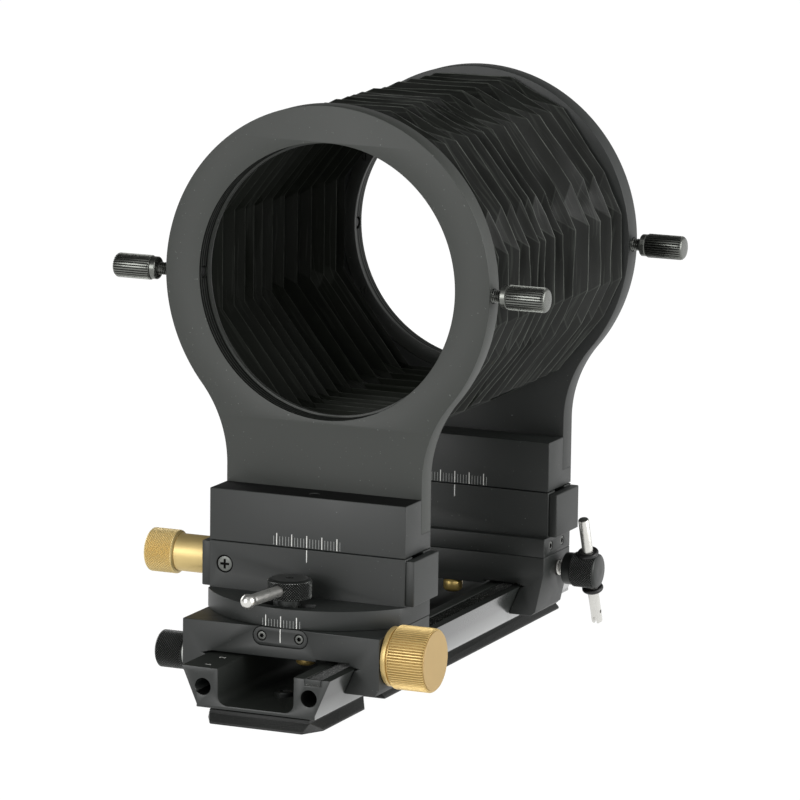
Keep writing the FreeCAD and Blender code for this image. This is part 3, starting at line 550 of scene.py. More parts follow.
def cloth(name, dark, light, worn, specular):
    """Black coated cloth: fine weave, thin lighter creases, faint lines along the pleats, uneven sheen.

    The crease attribute is above 0 on ridges and gusset lines and below 0 on valleys; worn is the sign
    of those that are lighter on this side. Their lighter colour is partly rubbed wear and partly a
    painted highlight for the light a fold's edge catches."""
    nt, shader = surface(name)
    at = on_object(nt)
    weave = grain(nt, at, 6500.0, 2.0)
    folds = grain(nt, at, 130.0, 5.0, 0.65)
    lengthwise = node(nt, "Mapping", Vector=at, Scale=(40, 1700, 40)).outputs["Vector"]
    streak = grain(nt, lengthwise, 1.0, 2.0, 0.5)
    crease = node(nt, "Attribute", attribute_name="crease").outputs["Fac"]
    # Lighter creases: partly rubbed wear, partly a painted highlight along the folds.
    rub_and_highlight = maths(nt, "MULTIPLY", mapped(nt, crease, 0.0, 1.0, 0.0, worn),
                mapped(nt, folds, 0.15, 1.3, 0.3, 0.7))
    colour = blended(nt, folds, dark, light)
    colour = blended(nt, mapped(nt, streak, 0.0, 0.22, 0.58, 0.66), colour, (78, 82, 76))
    colour = blended(nt, rub_and_highlight, colour, (98, 102, 96))
    dress(nt, shader, colour, maths(nt, "MULTIPLY_ADD", folds, 3.0, weave), 0.5, 0.03,
          Roughness=mapped(nt, folds, 0.36, 0.60), Specular_IOR_Level=specular)


def grooved_bore(name):
    """Blackened bore with fine turned grooves round it."""
    nt, shader = surface(name)
    at = on_object(nt)
    bands = node(nt, "TexWave", wave_type="BANDS", bands_direction="Y", Scale=210.0, Vector=at)
    bands = bands.outputs["Fac"]
    colour = blended(nt, maths(nt, "POWER", bands, 4.0), (8, 9, 8), (62, 65, 61))
    height = maths(nt, "ADD", bands, mapped(nt, grain(nt, at, 3000.0, 2.0, 0.5), 0.0, 0.1))
    dress(nt, shader, colour, height, 0.8, 0.15, Roughness=0.6, Specular_IOR_Level=0.12)


metal("black", (25, 28, 26), (35, 38, 36), 0.46, 0.012, 5200, specular=0.55, specks=(0.76, 0.82))
# Lighter finish of broken edges: partly worn anodise, partly a painted highlight for the light thin bevels
# catch.
metal("edge_wear_and_highlight", (116, 119, 116), (170, 173, 169), 0.34, 0.01, 6000, metallic=0.3)
# Lighter copy of the black finish: the front ring plate takes it and the rear one plain black, painted
# light and shade on one anodised finish; the clamp rings and their screws take it too.
metal("black_lit_copy", (41, 44, 40), (50, 53, 49), 0.50, 0.01, 5200, specular=0.55, patch=35,
      specks=(0.74, 0.82))
# Darker, duller copy of the black finish, on the thumbscrews' swivel tips: painted shade.
metal("black_shaded", (16, 17, 16), (24, 25, 24), 0.62, 0.02, 4000)
# The crest and groove colours below paint highlights on knurls and flutes and shade in their grooves.
metal("black_knurl", (40, 42, 41), (62, 64, 62), 0.30, 0.006, 7000, metallic=0.7, patch=250,
      crest=(214, 216, 212), groove=(12, 13, 12))
metal("gunmetal", (98, 100, 96), (124, 126, 121), 0.24, 0.005, 8000, metallic=0.88, patch=300,
      groove=(24, 25, 24))
metal("gold", (208, 180, 116), (224, 196, 132), 0.36, 0.008, 6500, metallic=0.5, patch=120,
      crest=(252, 232, 176), groove=(150, 122, 68))
metal("gold_knurl", (214, 190, 128), (228, 204, 142), 0.34, 0.008, 6500, metallic=0.45, patch=120,
      crest=(255, 242, 196), groove=(214, 186, 122))
metal("gold_turned", (174, 147, 97), (186, 159, 109), 0.50, 0.01, 6500, metallic=0.4, patch=120)
metal("gold_barrel", (210, 184, 122), (224, 200, 138), 0.42, 0.008, 6500, metallic=0.6, patch=120)
metal("rail", (26, 29, 27), (36, 39, 37), 0.34, 0.008, 5200)
# The rail's flank pales towards its foot: a painted reflection of the pale floor.
metal("rail_flank", (34, 37, 35), (46, 49, 47), 0.26, 0.008, 5200, specular=0.9, coat=1.0,
      painted_floor_reflection=(11.5, 4.9, (118, 120, 119)))
# Near-black finish in holes, sockets, pocket walls and gaps: painted shade where little light reaches.
metal("recess", (5, 6, 5), (10, 11, 10), 0.7, 0.02, 4000, specular=0.15)
# Darker, duller finish in the rail's channel and on its top: painted shade where little light reaches.
metal("channel", (24, 27, 24), (32, 35, 32), 0.62, 0.01, 4000, specular=0.25)
metal("satin_steel", (176, 178, 174), (196, 198, 194), 0.34, 0.008, 4000, metallic=0.9, patch=200)
metal("brass", (206, 172, 92), (234, 208, 136), 0.30, 0.01, 6000, metallic=0.7, patch=400)
metal("steel", (206, 205, 200), (228, 227, 222), 0.26, 0.008, 4000, metallic=0.9, patch=350)
metal("screw_steel", (84, 86, 83), (118, 120, 116), 0.34, 0.012, 7000, metallic=0.7,
      patch=600)
metal("screw_black", (74, 76, 73), (124, 126, 122), 0.24, 0.008, 7000, metallic=0.8, patch=1400)
metal("rubber", (14, 14, 14), (22, 22, 22), 0.36, 0.02, 5000, patch=500)
metal("paint", (226, 227, 222), (244, 244, 240), 0.55, 0.01, 9000, patch=900)
metal("grey_paint", (158, 160, 158), (184, 186, 184), 0.55, 0.01, 9000, patch=900)
speckled("foot", (10, 12, 10), (36, 39, 35), 2100, 0.5, 0.74, 0.5, 0.08)
speckled("rack", (14, 16, 13), (128, 131, 126), 2600, 0.56, 0.66, 0.45, 0.04)
grooved_bore("bore")
cloth("cloth", (8, 10, 7), (18, 21, 16), 1.0, 0.3)
cloth("lining", (27, 30, 25), (36, 39, 33), -1.0, 0.1)

# ------------------------------------------------------------ camera, floor and light
AZIMUTH, ELEVATION, ROLL = math.radians(23.651), math.radians(10.483), math.radians(0.755)
TARGET, DISTANCE = Vector((30.1, -64.5, 96.5)), 1608.9
right = Vector((math.cos(AZIMUTH), math.sin(AZIMUTH), 0))
back = Vector((math.sin(AZIMUTH) * math.cos(ELEVATION), -math.cos(AZIMUTH) * math.cos(ELEVATION),
               math.sin(ELEVATION)))
across = right * math.cos(ROLL) + back.cross(right) * math.sin(ROLL)
camera = link("camera", bpy.data.cameras.new("camera"))
turn = Matrix((across, back.cross(across), back)).transposed().to_4x4()
camera.matrix_world = Matrix.Translation((TARGET + back * DISTANCE) * MM) @ turn
camera.data.lens = 243.03
camera.data.sensor_width = 36
camera.data.sensor_fit = "HORIZONTAL"
camera.data.clip_end = 50
scene.camera = camera


def rays(nt, *kinds):
    """1 for rays of these kinds."""
    path = node(nt, "LightPath")
    return maths(nt, "MAXIMUM", *[path.outputs["Is %s Ray" % kind] for kind in kinds])


def studio_floor():
    nt, shader = surface("studio_floor")
    feed(nt, shader, Base_Color=(0.86, 0.86, 0.86, 1), Roughness=0.7)
    glow = node(nt, "Emission", Color=(1, 1, 1, 1), Strength=1.09)
    share = maths(nt, "MULTIPLY", rays(nt, "Camera", "Glossy"), 0.9)
    mixed = node(nt, "MixShader")
    for socket, source in zip(mixed.inputs, (share, shader.outputs[0], glow.outputs[0])):
        nt.links.new(source, socket)
    nt.links.new(mixed.outputs[0], nt.nodes["Material Output"].inputs["Surface"])
    half, z = 4000, -0.05
    floor = add_mesh("floor", [(-half, -half, z), (half, -half, z), (half, half, z), (-half, half, z)],
                     [(0, 1, 2, 3)])
    floor.data.materials.append(material["studio_floor"])


def studio_world():
    """White to the camera; dim walls to the right, in front and behind light the object."""
    world = bpy.data.worlds.new("studio")
    scene.world = world
    world.use_nodes = True
    nt = world.node_tree
    toward = node(nt, "SeparateXYZ", Vector=node(nt, "TexCoord").outputs["Generated"]).outputs
    right_wall = mapped(nt, toward["X"], 0.04, 0.95, 0.0, 0.45)
    front_wall = mapped(nt, toward["Y"], 0.05, 0.8, -0.2, -0.95)
    back_wall = mapped(nt, toward["Y"], 0.0, 0.35, 0.3, 0.9)
    walls = maths(nt, "MAXIMUM", right_wall, maths(nt, "MAXIMUM", front_wall, back_wall))
    dimmed = maths(nt, "MULTIPLY", walls, mapped(nt, toward["Z"], 1.0, 0.35, 0.2, 0.8))
    seen = maths(nt, "MAXIMUM", dimmed, rays(nt, "Camera", "Transmission"))
    feed(nt, nt.nodes["Background"], Color=(1, 1, 1, 1), Strength=seen)


def lamp(name, place, aim_z, size, power):
    data = bpy.data.lights.new(name, "AREA")
    data.shape = "RECTANGLE"
    data.size = size
    data.size_y = size
    data.energy = power
    obj = link(name, data)
    obj.location = place
    obj.rotation_euler = (Vector((0, 0, aim_z)) - Vector(place)).to_track_quat("-Z", "Y").to_euler()


studio_floor()
studio_world()
lamp("right_softbox", (1.5, 0.1, 0.55), 0.09, 1.2, 18.0)
lamp("top_softbox", (-0.1, -0.9, 1.5), 0.12, 0.9, 2.0)
lamp("front_fill", (-0.5, -1.5, 0.55), 0.10, 0.9, 12.0)
lamp("left_fill", (-1.5, 0.7, 0.4), 0.10, 1.0, 9.0)


# ------------------------------------------------------------ blocks that keep their CAD shape
def in_channel(at, normal):
    return abs(at.x) < CHANNEL_X and at.z > CHANNEL_Z and abs(normal.y) < 0.5


def on_rail_top(at, normal):
    return at.z > 15.0 and normal.z > 0.9


def in_end_hole(at, normal):
    return math.hypot(abs(at.x) - END_HOLE_X, at.z - END_HOLE_Z) < END_HOLE_R and abs(normal.y) < 0.5


def on_flank(at, normal):
    return abs(at.x) > FLANK_X and abs(normal.x) > 0.8


def in_index_pocket(at, normal):
    return (abs(at.x) < 9.2 and INDEX_Y - 0.09 < at.y < INDEX_Y + 1.3 and 21.5 < at.z < SWING_Z0
            and abs(normal.y) < 0.95)


def in_well(at, normal):
    return math.hypot(at.x, at.y - WELL_Y) < 1.52 and at.z > WELL_Z - 0.1


# The rail's channel and top take the darker, duller finish and its end holes the near-black one: painted
# shade.
bevelled("rail", (on_rail_top, "channel"), (in_channel, "channel"), (in_end_hole, "recess"),
         (on_flank, "rail_flank"), finish_name="rail")
for name in ("front_foot", "rear_foot"):
    bevelled(name, width=0.3125, finish_name="foot")
# The index pocket's walls and the holes of the screws below take the near-black finish: painted shade.
bevelled("front_carriage", (in_index_pocket, "recess"))
bevelled("rear_carriage")
bevelled("rear_spacer", *[(near_line(HALF_W, y, SPACER_SCREW_Z, 0, 1.9), "recess") for y in SPACER_SCREW_Y])
for side, y in STANDARDS.items():
    bevelled(side + "_shift_guide", (near_line(GUIDE_SCREW_X, y, LEAD_Z, 1, 3.1), "recess"))
    bevelled(side + "_shift_block")
for side in STANDARDS:
    for s, word in SIDES:
        bevelled(side + "_guide_cap_" + word, width=0.1875)
front_block = bpy.data.objects["front_shift_block_finished"]
cut(front_block, lathe("well", (0, WELL_Y, WELL_Z), Z, [(0, 1.5), (0.9, 1.5), (1.6, 2.1)], 40))
# The set screw's well in the near-black finish: painted shade.
mark(front_block, (in_well, "recess"))
# Screw holes and broken edges of the index plate in the near-black finish: painted shade and a painted dark
# outline.
bevelled("index_plate", *[(near_line(s * INDEX_SCREW_X, INDEX_Y, INDEX_SCREW_Z, 1, 1.8), "recess")
                          for s, word in SIDES], width=0.15, edge="recess")


def paint_nodes(finish_name, *names):
    """Finish of CAD nodes that are shown as they are."""
    for name in names:
        nodes[name].data.materials.clear()
        nodes[name].data.materials.append(material[finish_name])
        shade(nodes[name], 32)


paint_nodes("rack", "gear_rack")
paint_nodes("gunmetal", "focus_pinion", "carriage_lock_stud", "swing_lock_stud", "front_lead_screw",
            "rear_lead_screw")
for side, y in (("front", -99.98), ("rear", 98.98)):
    end = bar("rack_end_" + side, 16.14, 21.26, y, y + 1.0, 15.2, RAIL_TOP_Z, 0.08)
    finish(end, "base", "rail", angle=30)


# ------------------------------------------------------------ swing plate, ring plates, clamp rings, screws
def screw_head(name, place, facing, radius, depth, sunk, body, finish_name, replaced, slot=None,
               cross=None, hexagon=None, dome=0.0):
    """Screw whose rim is sunk a little into its place, with a slot, cross or hexagon in its head."""
    u, v, w = basis(facing)
    top = Vector(place) - w * sunk
    profile = [(-depth - 1.6, radius * 0.5), (-depth, radius * 0.5), (-0.15 - dome * 0.2, radius),
               (-0.05, radius * 0.97), (dome * 0.6, radius * 0.7), (dome, radius * 0.25)]
    obj = lathe(name, top, facing, profile, 40)
    tools = []
    if slot:
        tools.append(cutter("slot", top - v * radius * 1.2, top + v * radius * 1.2, slot, 0.8, w))
    if cross:
        tools += [cutter("cross", top - axis * cross, top + axis * cross, cross * 0.5, cross * 1.1, w)
                  for axis in (u, v)]
    if hexagon:
        socket = [(0, hexagon), (hexagon * 3, hexagon)]
        tools.append(lathe("hex", top - w * hexagon * 1.1, facing, socket, 6))
    cut(obj, *tools)
    finish(obj, body, finish_name, replaced)

    # Faces inside the socket take the near-black finish: painted shade.
    def inside(at, normal):
        below = (top - at).dot(w)
        return below > 0.03 and (at - top + w * below).length < radius * 0.8
    mark(obj, (inside, "recess"))


def swing_plate():
    half = math.degrees(math.asin(HALF_W / SWING_R))
    outer = arc(0, SWING_Y, SWING_R, 270 - half, 270 + half, 48)
    outer += [(HALF_W, FRONT_Y + DEPTH), (-HALF_W, FRONT_Y + DEPTH)]
    reach, half_slot, span = 32.8, 2.8, 13.9
    slot = arc(0, SWING_Y, reach - half_slot, 270 - span, 270 + span, 24)
    slot += arc(0, SWING_Y, reach + half_slot, 270 + span, 270 - span, 24)
    obj = slab("swing_plate_finished", [outer, slot], SWING_Z0, SWING_Z1, 0.2, along_z)
    finish(obj, "swing_stage", "black", "swing_plate", edge="edge_wear_and_highlight", angle=32)
    tongue = arc(0, SWING_Y, 28.0, 250, 290, 24) + arc(0, SWING_Y, 24.0, 290, 250, 24)
    obj = slab("swing_plate_tongue", [tongue], SWING_Z0 - 2.4, SWING_Z0 + 0.3, 0.15, along_z)
    finish(obj, "swing_stage", "black", edge="edge_wear_and_highlight", angle=32)


def ring_plate(side):
    """Ring on its waisted neck, with the seat of the clamp ring and the bores of its screws."""
    y0 = ring_y(side)
    y1 = y0 + RING_T
    front = side == "front"
    waist_x = HALF_W + NECK_R
    drop = math.sqrt((RING_R + NECK_R) ** 2 - waist_x ** 2)
    lean = math.degrees(math.atan2(drop, waist_x))
    waist = arc(waist_x, RING_Z - drop, NECK_R, 180, 180 - lean, 24)
    outer = [(-HALF_W, RABBET_Z), (HALF_W, RABBET_Z)] + waist
    outer += arc(0, RING_Z, RING_R, -lean, 180 + lean, 220)[1:]
    outer += [(-x, z) for x, z in reversed(waist)][1:]
    bore = circle(0, RING_Z, BORE_R, 200, True)
    obj = slab(side + "_ring_plate_finished", [outer, bore], y0, y1, 0.25, along_y)
    tools = []
    for s, word in SIDES:
        tools.append(lathe("bore", (s * (BORE_R - 2), thumb_y(side), THUMB_Z), (s, 0, 0),
                           [(0, 2.05), (12.95, 2.05), (13.4, 2.5), (14.4, 3.5)], 32))
        tools.append(lathe("sink", (s * PLATE_SCREW_X, y1 + 0.01, PLATE_SCREW_Z), (0, -1, 0),
                           [(0, 2.8), (1.3, 1.6), (RING_T + 1, 1.6)], 32))
    seat_y = y1 - CLAMP_T if front else y0 - 1.0
    tools.append(lathe("seat", (0, seat_y, RING_Z), Y, [(0, SEAT_R), (CLAMP_T + 1, SEAT_R)], 200))
    cut(obj, *tools)
    # Front ring plate in the lighter copy, rear ring plate in plain black: painted light and shade.
    finish(obj, side + "_standard", "black_lit_copy" if front else "black", side + "_ring_plate",
           edge="edge_wear_and_highlight")
    mark(obj, (lambda at, normal: math.hypot(at.x, at.z - RING_Z) < BORE_R + 0.12 and abs(normal.y) < 0.8,
               "bore"))


def clamp_ring(side):
    """Flat ring that holds an end of the bellows, with its six screws."""
    out = 1 if side == "front" else -1
    y0 = ring_y(side) + (RING_T - CLAMP_T if out > 0 else 0)
    face_y = y0 + CLAMP_T if out > 0 else y0
    ring = [circle(0, RING_Z, SEAT_R - 0.05, 200), circle(0, RING_Z, 41.5, 200, True)]
    obj = slab(side + "_clamp_ring_finished", ring, y0, y0 + CLAMP_T, 0.2, along_y)
    holes = []
    for i in range(6):
        a = TURN * (i + 0.5) / 6
        at = (CLAMP_HOLES_R * math.cos(a), face_y + 0.01 * out, RING_Z + CLAMP_HOLES_R * math.sin(a))
        holes.append(lathe("hole", at, (0, -out, 0), [(0, 1.3), (0.8, 0.6), (3, 0.6)], 24))
        screw_head(side + "_clamp_ring_screw_%d" % i, at, (0, out, 0), 1.22, 0.55, 0.06,
                   side + "_standard", "black_lit_copy", side + "_clamp_ring_screws", slot=0.25)
    cut(obj, *holes)
    finish(obj, side + "_standard", "black_lit_copy", side + "_clamp_ring", edge="edge_wear_and_highlight")


swing_plate()
for side in STANDARDS:
    ring_plate(side)
    clamp_ring(side)
    for s, word in SIDES:
        at = (s * PLATE_SCREW_X, ring_y(side) + RING_T, PLATE_SCREW_Z)
        screw_head(side + "_ring_screw_" + word, at, Y, 2.7, 1.3, 0.12, side + "_standard", "black_knurl",
                   side + "_ring_screws", hexagon=1.0)
for side, y in STANDARDS.items():
    screw_head(side + "_guide_screw_finished", (GUIDE_SCREW_X, y, LEAD_Z), (0, -1, 0), 2.35, 1.2, 0.2,
               GUIDE_BODY[side], "screw_steel", side + "_guide_screw", cross=1.5, dome=0.12)
for s, word in SIDES:
    screw_head("index_plate_screw_" + word, (s * INDEX_SCREW_X, INDEX_Y, INDEX_SCREW_Z), (0, -1, 0), 1.25,
               0.7, 0.12, "front_carriage", "screw_black", "index_plate_screws", hexagon=0.72)
for i, y in enumerate(SPACER_SCREW_Y):
    screw_head("rear_spacer_screw_%d" % i, (HALF_W, y, SPACER_SCREW_Z), X, 1.45, 0.8, 0.12,
               "rear_carriage", "screw_black", "rear_spacer_screws", hexagon=0.9)
for i, y in enumerate(FOOT_SCREW_Y):
    obj = lathe("foot_screw_%d" % i, (0, y, 6.1), Z,
                [(-5.2, 1.6), (0, 1.6), (0, 2.7), (1.05, 2.75), (1.4, 2.45)], 48)
    cut(obj, lathe("hex", (0, y, 6.7), Z, [(0, 1.25), (2, 1.25)], 6))
    finish(obj, "base", "black_knurl", "foot_screws")


def keeper(name, y, z, band, body):
    """Brass keeper: domed head with a straight band, under a short cone and its shank."""
    profile = [(0, 0.4), (0.1, 1.3), (0.35, 2.2), (0.8, 2.85), (1.4, 3.1), (1.4 + band, 3.1),
               (1.6 + band, 3.0), (2.3 + band, 2.0), (24.1 - z, 2.0)]
    obj = lathe(name + "_finished", (0, y, z), Z, profile)
    cut(obj, lathe("hex", (0, y, z - 0.6), Z, [(0, 1.1), (1.7, 1.1)], 6))
    finish(obj, body, "brass", name, angle=40)


keeper("front_keeper_bolt", -64.1, 12.1, 1.4, "front_carriage")
keeper("rear_keeper_bolt", 48.6, 12.8, 2.2, "rear_carriage")


# ------------------------------------------------------------ knobs
def focus_knob():
    flange = [(0.0, 4.0), (0.0, 8.6), (0.15, 8.9), (0.4, 9.05), (1.6, 9.05), (1.75, 8.9), (1.8, 8.4),
              (2.45, 8.4)]
    turned("focus_knob_flange", FOCUS, X, flange, 160, "focus_drive", "gold", "focus_knob")
    grip = [(2.4, 4.0), (2.4, 9.0), (2.5, 9.35), (2.75, 9.65), (3.0, 9.7), (13.4, 9.7), (13.7, 9.62),
            (13.95, 9.45), (14.0, 9.3), (14.0, 9.0)]
    count = 70
    turned("focus_knob_grip", FOCUS, X, grip, count * 6, "focus_drive", "gold",
           relief=flutes(count, 0.42, 2.45, 13.96, 0.35), angle=30)
    end = [(13.5, 9.0), (14.0, 9.12), (14.3, 9.1), (14.4, 9.0), (14.4, 6.0), (14.4, 2.0)]
    turned("focus_knob_end", FOCUS, X, end, 160, "focus_drive", "gold_turned")


def shift_knob(side):
    """Barrel beside the cap and a diamond-knurled head with a flat face, turned from one bar."""
    start = (SHIFT_KNOB_X, STANDARDS[side] + LEAD_IN, LEAD_Z)
    body = side + "_shift_drive"
    obj = knurled(side + "_shift_knob_head", start, X,
                  [(0.25, 2.0), (0.25, 5.9), (0.0, 6.0), (0.1, 6.25), (0.5, 6.6)],
                  (0.65, 9.1, 6.8), 52, 0.34, [(9.3, 6.6), (9.7, 6.2), (9.8, 6.0), (9.8, 3.0)])
    finish(obj, body, "gold_knurl", side + "_shift_knob", angle=30)
    barrel = [(9.7, 5.3), (9.8, 5.6), (9.95, 5.8), (20.8, 5.8), (21.05, 5.7), (21.2, 5.45), (21.2, 2.6)]
    turned(side + "_shift_knob_barrel", start, X, barrel, 128, body, "gold_barrel")
    face = [(-0.3, 5.95), (-0.05, 5.95), (0.0, 5.85), (0.0, 2.0)]
    turned(side + "_shift_knob_face", start, (-1, 0, 0), face, 96, body, "gold_turned")


def carriage_lock():
    collar = [(0.0, 2.0), (0.0, 4.8), (0.2, 5.05), (0.5, 5.1), (3.7, 5.1), (4.0, 5.0), (4.15, 4.8),
              (4.15, 2.0)]
    turned("carriage_lock_collar", CARRIAGE_LOCK, (-1, 0, 0), collar, 96, "carriage_lock", "satin_steel")
    obj = knurled("carriage_lock_knob_finished", CARRIAGE_LOCK, (-1, 0, 0),
                  [(4.1, 2.0), (4.1, 5.2), (4.2, 5.5)], (4.4, 12.3, 5.8), 45, 0.3,
                  [(12.5, 5.5), (12.8, 5.2), (13.0, 4.8), (13.0, 2.0)])
    finish(obj, "carriage_lock", "black_knurl", "carriage_lock_knob", angle=30)


def swing_lock():
    """Knurled knob with the hole of its stud, and the lever that ends in a ball."""
    obj = knurled("swing_lock_knob_finished", (0, SWING_LOCK_Y, SWING_LOCK_Z), Z,
                  [(0.0, 2.6), (0.0, 3.5), (1.7, 3.5), (2.0, 3.9), (2.1, 5.4), (2.2, 6.1), (2.4, 6.5)],
                  (2.6, 7.5, 6.75), 52, 0.33, [(7.7, 6.5), (7.9, 6.1), (8.2, 5.6), (8.2, 1.2)])
    cut(obj, lathe("tip", (0, SWING_LOCK_Y, SWING_LOCK_Z + 7.75), Z, [(0, 1.2), (2, 1.2)], 32))
    finish(obj, "swing_lock", "black_knurl", "swing_lock_knob", angle=30)
    turned_by = math.radians(7.6)
    aim = (-math.sin(turned_by), -math.cos(turned_by), 0)
    reach, ball_r, ball_steps = 20.6, 2.25, 14
    lever = [(3.9, 1.75), (19.6, 1.75), (20.9, 1.75), (21.2, 1.7)]
    for i in range(1, ball_steps + 1):
        a = math.radians(51 + 128.5 * i / ball_steps)
        lever.append((max(reach + ball_r * (1 - math.cos(a)), 21.3), ball_r * math.sin(a)))
    turned("swing_lock_lever_finished", (0, SWING_LOCK_Y, LEVER_Z), aim, lever, 64, "swing_lock", "steel",
           "swing_lock_lever", angle=50)


def clamp():
    """Rear clamp: steel neck, knurled knob with a smooth collar, sliding bar with two rubber rings."""
    obj = knurled("clamp_knob_finished", (CLAMP_X, CLAMP_Y, CLAMP_Z), X,
                  [(0.0, 2.6), (0.0, 4.9), (0.25, 5.15), (2.8, 5.2), (3.0, 5.0), (3.1, 5.0), (3.15, 5.35)],
                  (3.3, 10.5, 5.7), 44, 0.28,
                  [(10.65, 5.5), (11.0, 5.4), (11.2, 5.1), (11.4, 4.6), (11.4, 1.5)])
    tilt = math.radians(21)
    down = Vector((0, math.sin(tilt), -math.cos(tilt)))
    hub = Vector((HUB_X, CLAMP_Y, CLAMP_Z))
    half = 19.3
    cut(obj, lathe("bore", hub - down * 20, down, [(0, 1.8), (40, 1.8)], 32))
    finish(obj, "rear_clamp", "black_knurl", "clamp_knob", angle=30)
    profile = [(-half, 1.3), (-19.2, 1.5), (-18.9, 1.72), (18.8, 1.75), (19.15, 1.6), (half, 1.4)]
    obj = lathe("clamp_bar_finished", hub, down, profile, 48)
    side = down.cross(Vector(X))
    low = hub + down * half
    cut(obj, cutter("slot", low - side * 3, low + side * 3, 1.0, 5.2, down),
        lathe("hole", hub + down * 15.3 - Vector((4, 0, 0)), X, [(0, 0.6), (8, 0.6)], 24))
    finish(obj, "rear_clamp", "steel", "clamp_bar", angle=40)
    mark(obj, (lambda at, normal: abs((at - hub).dot(down)) > 19.0 and abs(normal.dot(down)) > 0.7,
               "screw_steel"))
    for s, word in ((-1, "upper"), (1, "lower")):
        obj = torus("clamp_ring_" + word, hub + down * (s * 6.6), down, 2.6, 0.85, 64, 20)
        finish(obj, "rear_clamp", "rubber", "clamp_bar_rings", angle=180)
    neck = [(0, 2.5)] + [(a, 2.5) for a in spaced(13.9, 16.7, 0.1)] + [(16.9, 2.5)]
    turned("clamp_neck", (18.6, CLAMP_Y, CLAMP_Z), X, neck, 32, "rear_clamp", "steel", "clamp_stud",
           relief=thread(0.28, 0.8, 13.8, 16.8), angle=50)


def thumbscrew(side, word, s):
    """Radial screw: swivelling tip inside the ring, thread, collar and fluted head.

    The front left one is turned out a little."""
    name = "%s_thumb_%%s_%s" % (side, word)
    screw = "%s_thumbscrew_%s" % (side, word)
    swivel = "%s_thumbscrew_tip_%s" % (side, word)
    start = BORE_R + 0.2
    out = 1.0 if (side, word) == ("front", "left") else 0.0
    at, at_out = (s * start, thumb_y(side), THUMB_Z), (s * (start + out), thumb_y(side), THUMB_Z)
    tip = [(0, 1.1), (0.12, 1.4), (0.4, 1.6), (1.45, 1.6), (1.6, 1.5), (1.6, 0.9), (2.8, 0.9)]
    # The swivel tip takes the darker copy of black: painted shade.
    turned(name % "tip", at, (s, 0, 0), tip, 40, swivel, "black_shaded", swivel)
    stem = [(1.6, 1.6)] + [(a, 1.98) for a in spaced(1.8, 13.8, 0.1)]
    stem += [(13.95, 1.7), (14.1, 1.7), (14.1, 3.0), (14.2, 3.3), (14.45, 3.5), (15.8, 3.5), (16.0, 3.35),
             (16.1, 3.0), (16.15, 2.0)]
    turned(name % "stem", at_out, (s, 0, 0), stem, 64, screw, "gunmetal", screw,
           relief=thread(0.34, 0.7, 1.7, 13.9))
    head = [(16.1, 2.0), (16.1, 3.2), (16.2, 3.4), (16.4, 3.7), (16.6, 3.8), (27.4, 3.8), (27.8, 3.7),
            (28.3, 3.3), (28.45, 3.1), (28.5, 2.9), (28.5, 1.0)]
    count = 30
    turned(name % "head", at_out, (s, 0, 0), head, count * 8, screw, "gunmetal",
           relief=flutes(count, 0.32, 16.3, 28.0, 0.5), angle=30)


focus_knob()
for side in STANDARDS:
    shift_knob(side)
carriage_lock()
swing_lock()
clamp()
for s, word in SIDES:
    for side in STANDARDS:
        thumbscrew(side, word, s)


# ------------------------------------------------------------ scales and small marks
def tick(name, x, z0, z1, y, width, body, finish_name="paint"):
    obj = bar(name, x - width / 2, x + width / 2, y - 0.03, y + 0.1, z0, z1, 0.01)
    finish(obj, body, finish_name, angle=0)


def swing_tick(name, degrees, long):
    """Mark on the curved edge of the swing plate."""
    a = math.radians(degrees)
    aside = Vector((math.cos(a), math.sin(a), 0))
    out = Vector((math.sin(a), -math.cos(a), 0))
    foot = Vector((0, SWING_Y, 0)) + out * SWING_R
    w = 0.14 if long else 0.06
    z0, z1 = SWING_Z0 + 0.25, SWING_Z0 + (3.6 if long else 2.5)
    corners = ((-w, z0), (w, z0), (w, z1), (-w, z1))
    rings = [[foot + aside * x + out * d + Vector((0, 0, z)) for x, z in corners] for d in (-0.1, 0.03)]
    finish(boxed(name, *rings), "swing_stage", "paint" if long else "grey_paint", angle=0)


def numeral(name, text, y):
    """Painted number on the left flange of the rail, read from the right-hand side."""
    data = bpy.data.curves.new(name, "FONT")
    data.body = text
    data.size = 2.7 * MM
    data.align_x = "CENTER"
    data.align_y = "CENTER"
    data.extrude = 0.02 * MM
    data.resolution_u = 3
    outline = link(name + "_outline", data)
    mesh = baked(outline)
    bpy.data.objects.remove(outline)
    place = Vector((-17.3, y, RAIL_TOP_Z + 0.06)) * MM
    mesh.transform(Matrix.Translation(place) @ Matrix.Rotation(math.radians(90), 4, "Z"))
    finish(link(name, mesh), "base", "paint", angle=0)


for side, y in STANDARDS.items():
    for i in range(-11, 12):
        long = i % 5 == 0
        tick("%s_scale_%d" % (side, i + 11), i, BLOCK_Z0 + 0.25, BLOCK_Z0 + (3.95 if long else 3.05), y,
             0.28 if long else 0.12, side + "_standard", "paint" if long else "grey_paint")
    tick(side + "_index", 0.0, GUIDE_Z1 - 4.0, GUIDE_Z1 - 0.2, y, 0.28, GUIDE_BODY[side])
for i in range(-6, 7):
    swing_tick("swing_scale_%d" % (i + 6), 1.5 * i, i % 5 == 0)
tick("swing_index", 0.0, 22.9, 27.1, INDEX_Y, 0.28, "front_carriage")
for i in range(19):
    numeral("rail_number_%d" % i, str(i + 1), -96.3 + 10 * i)

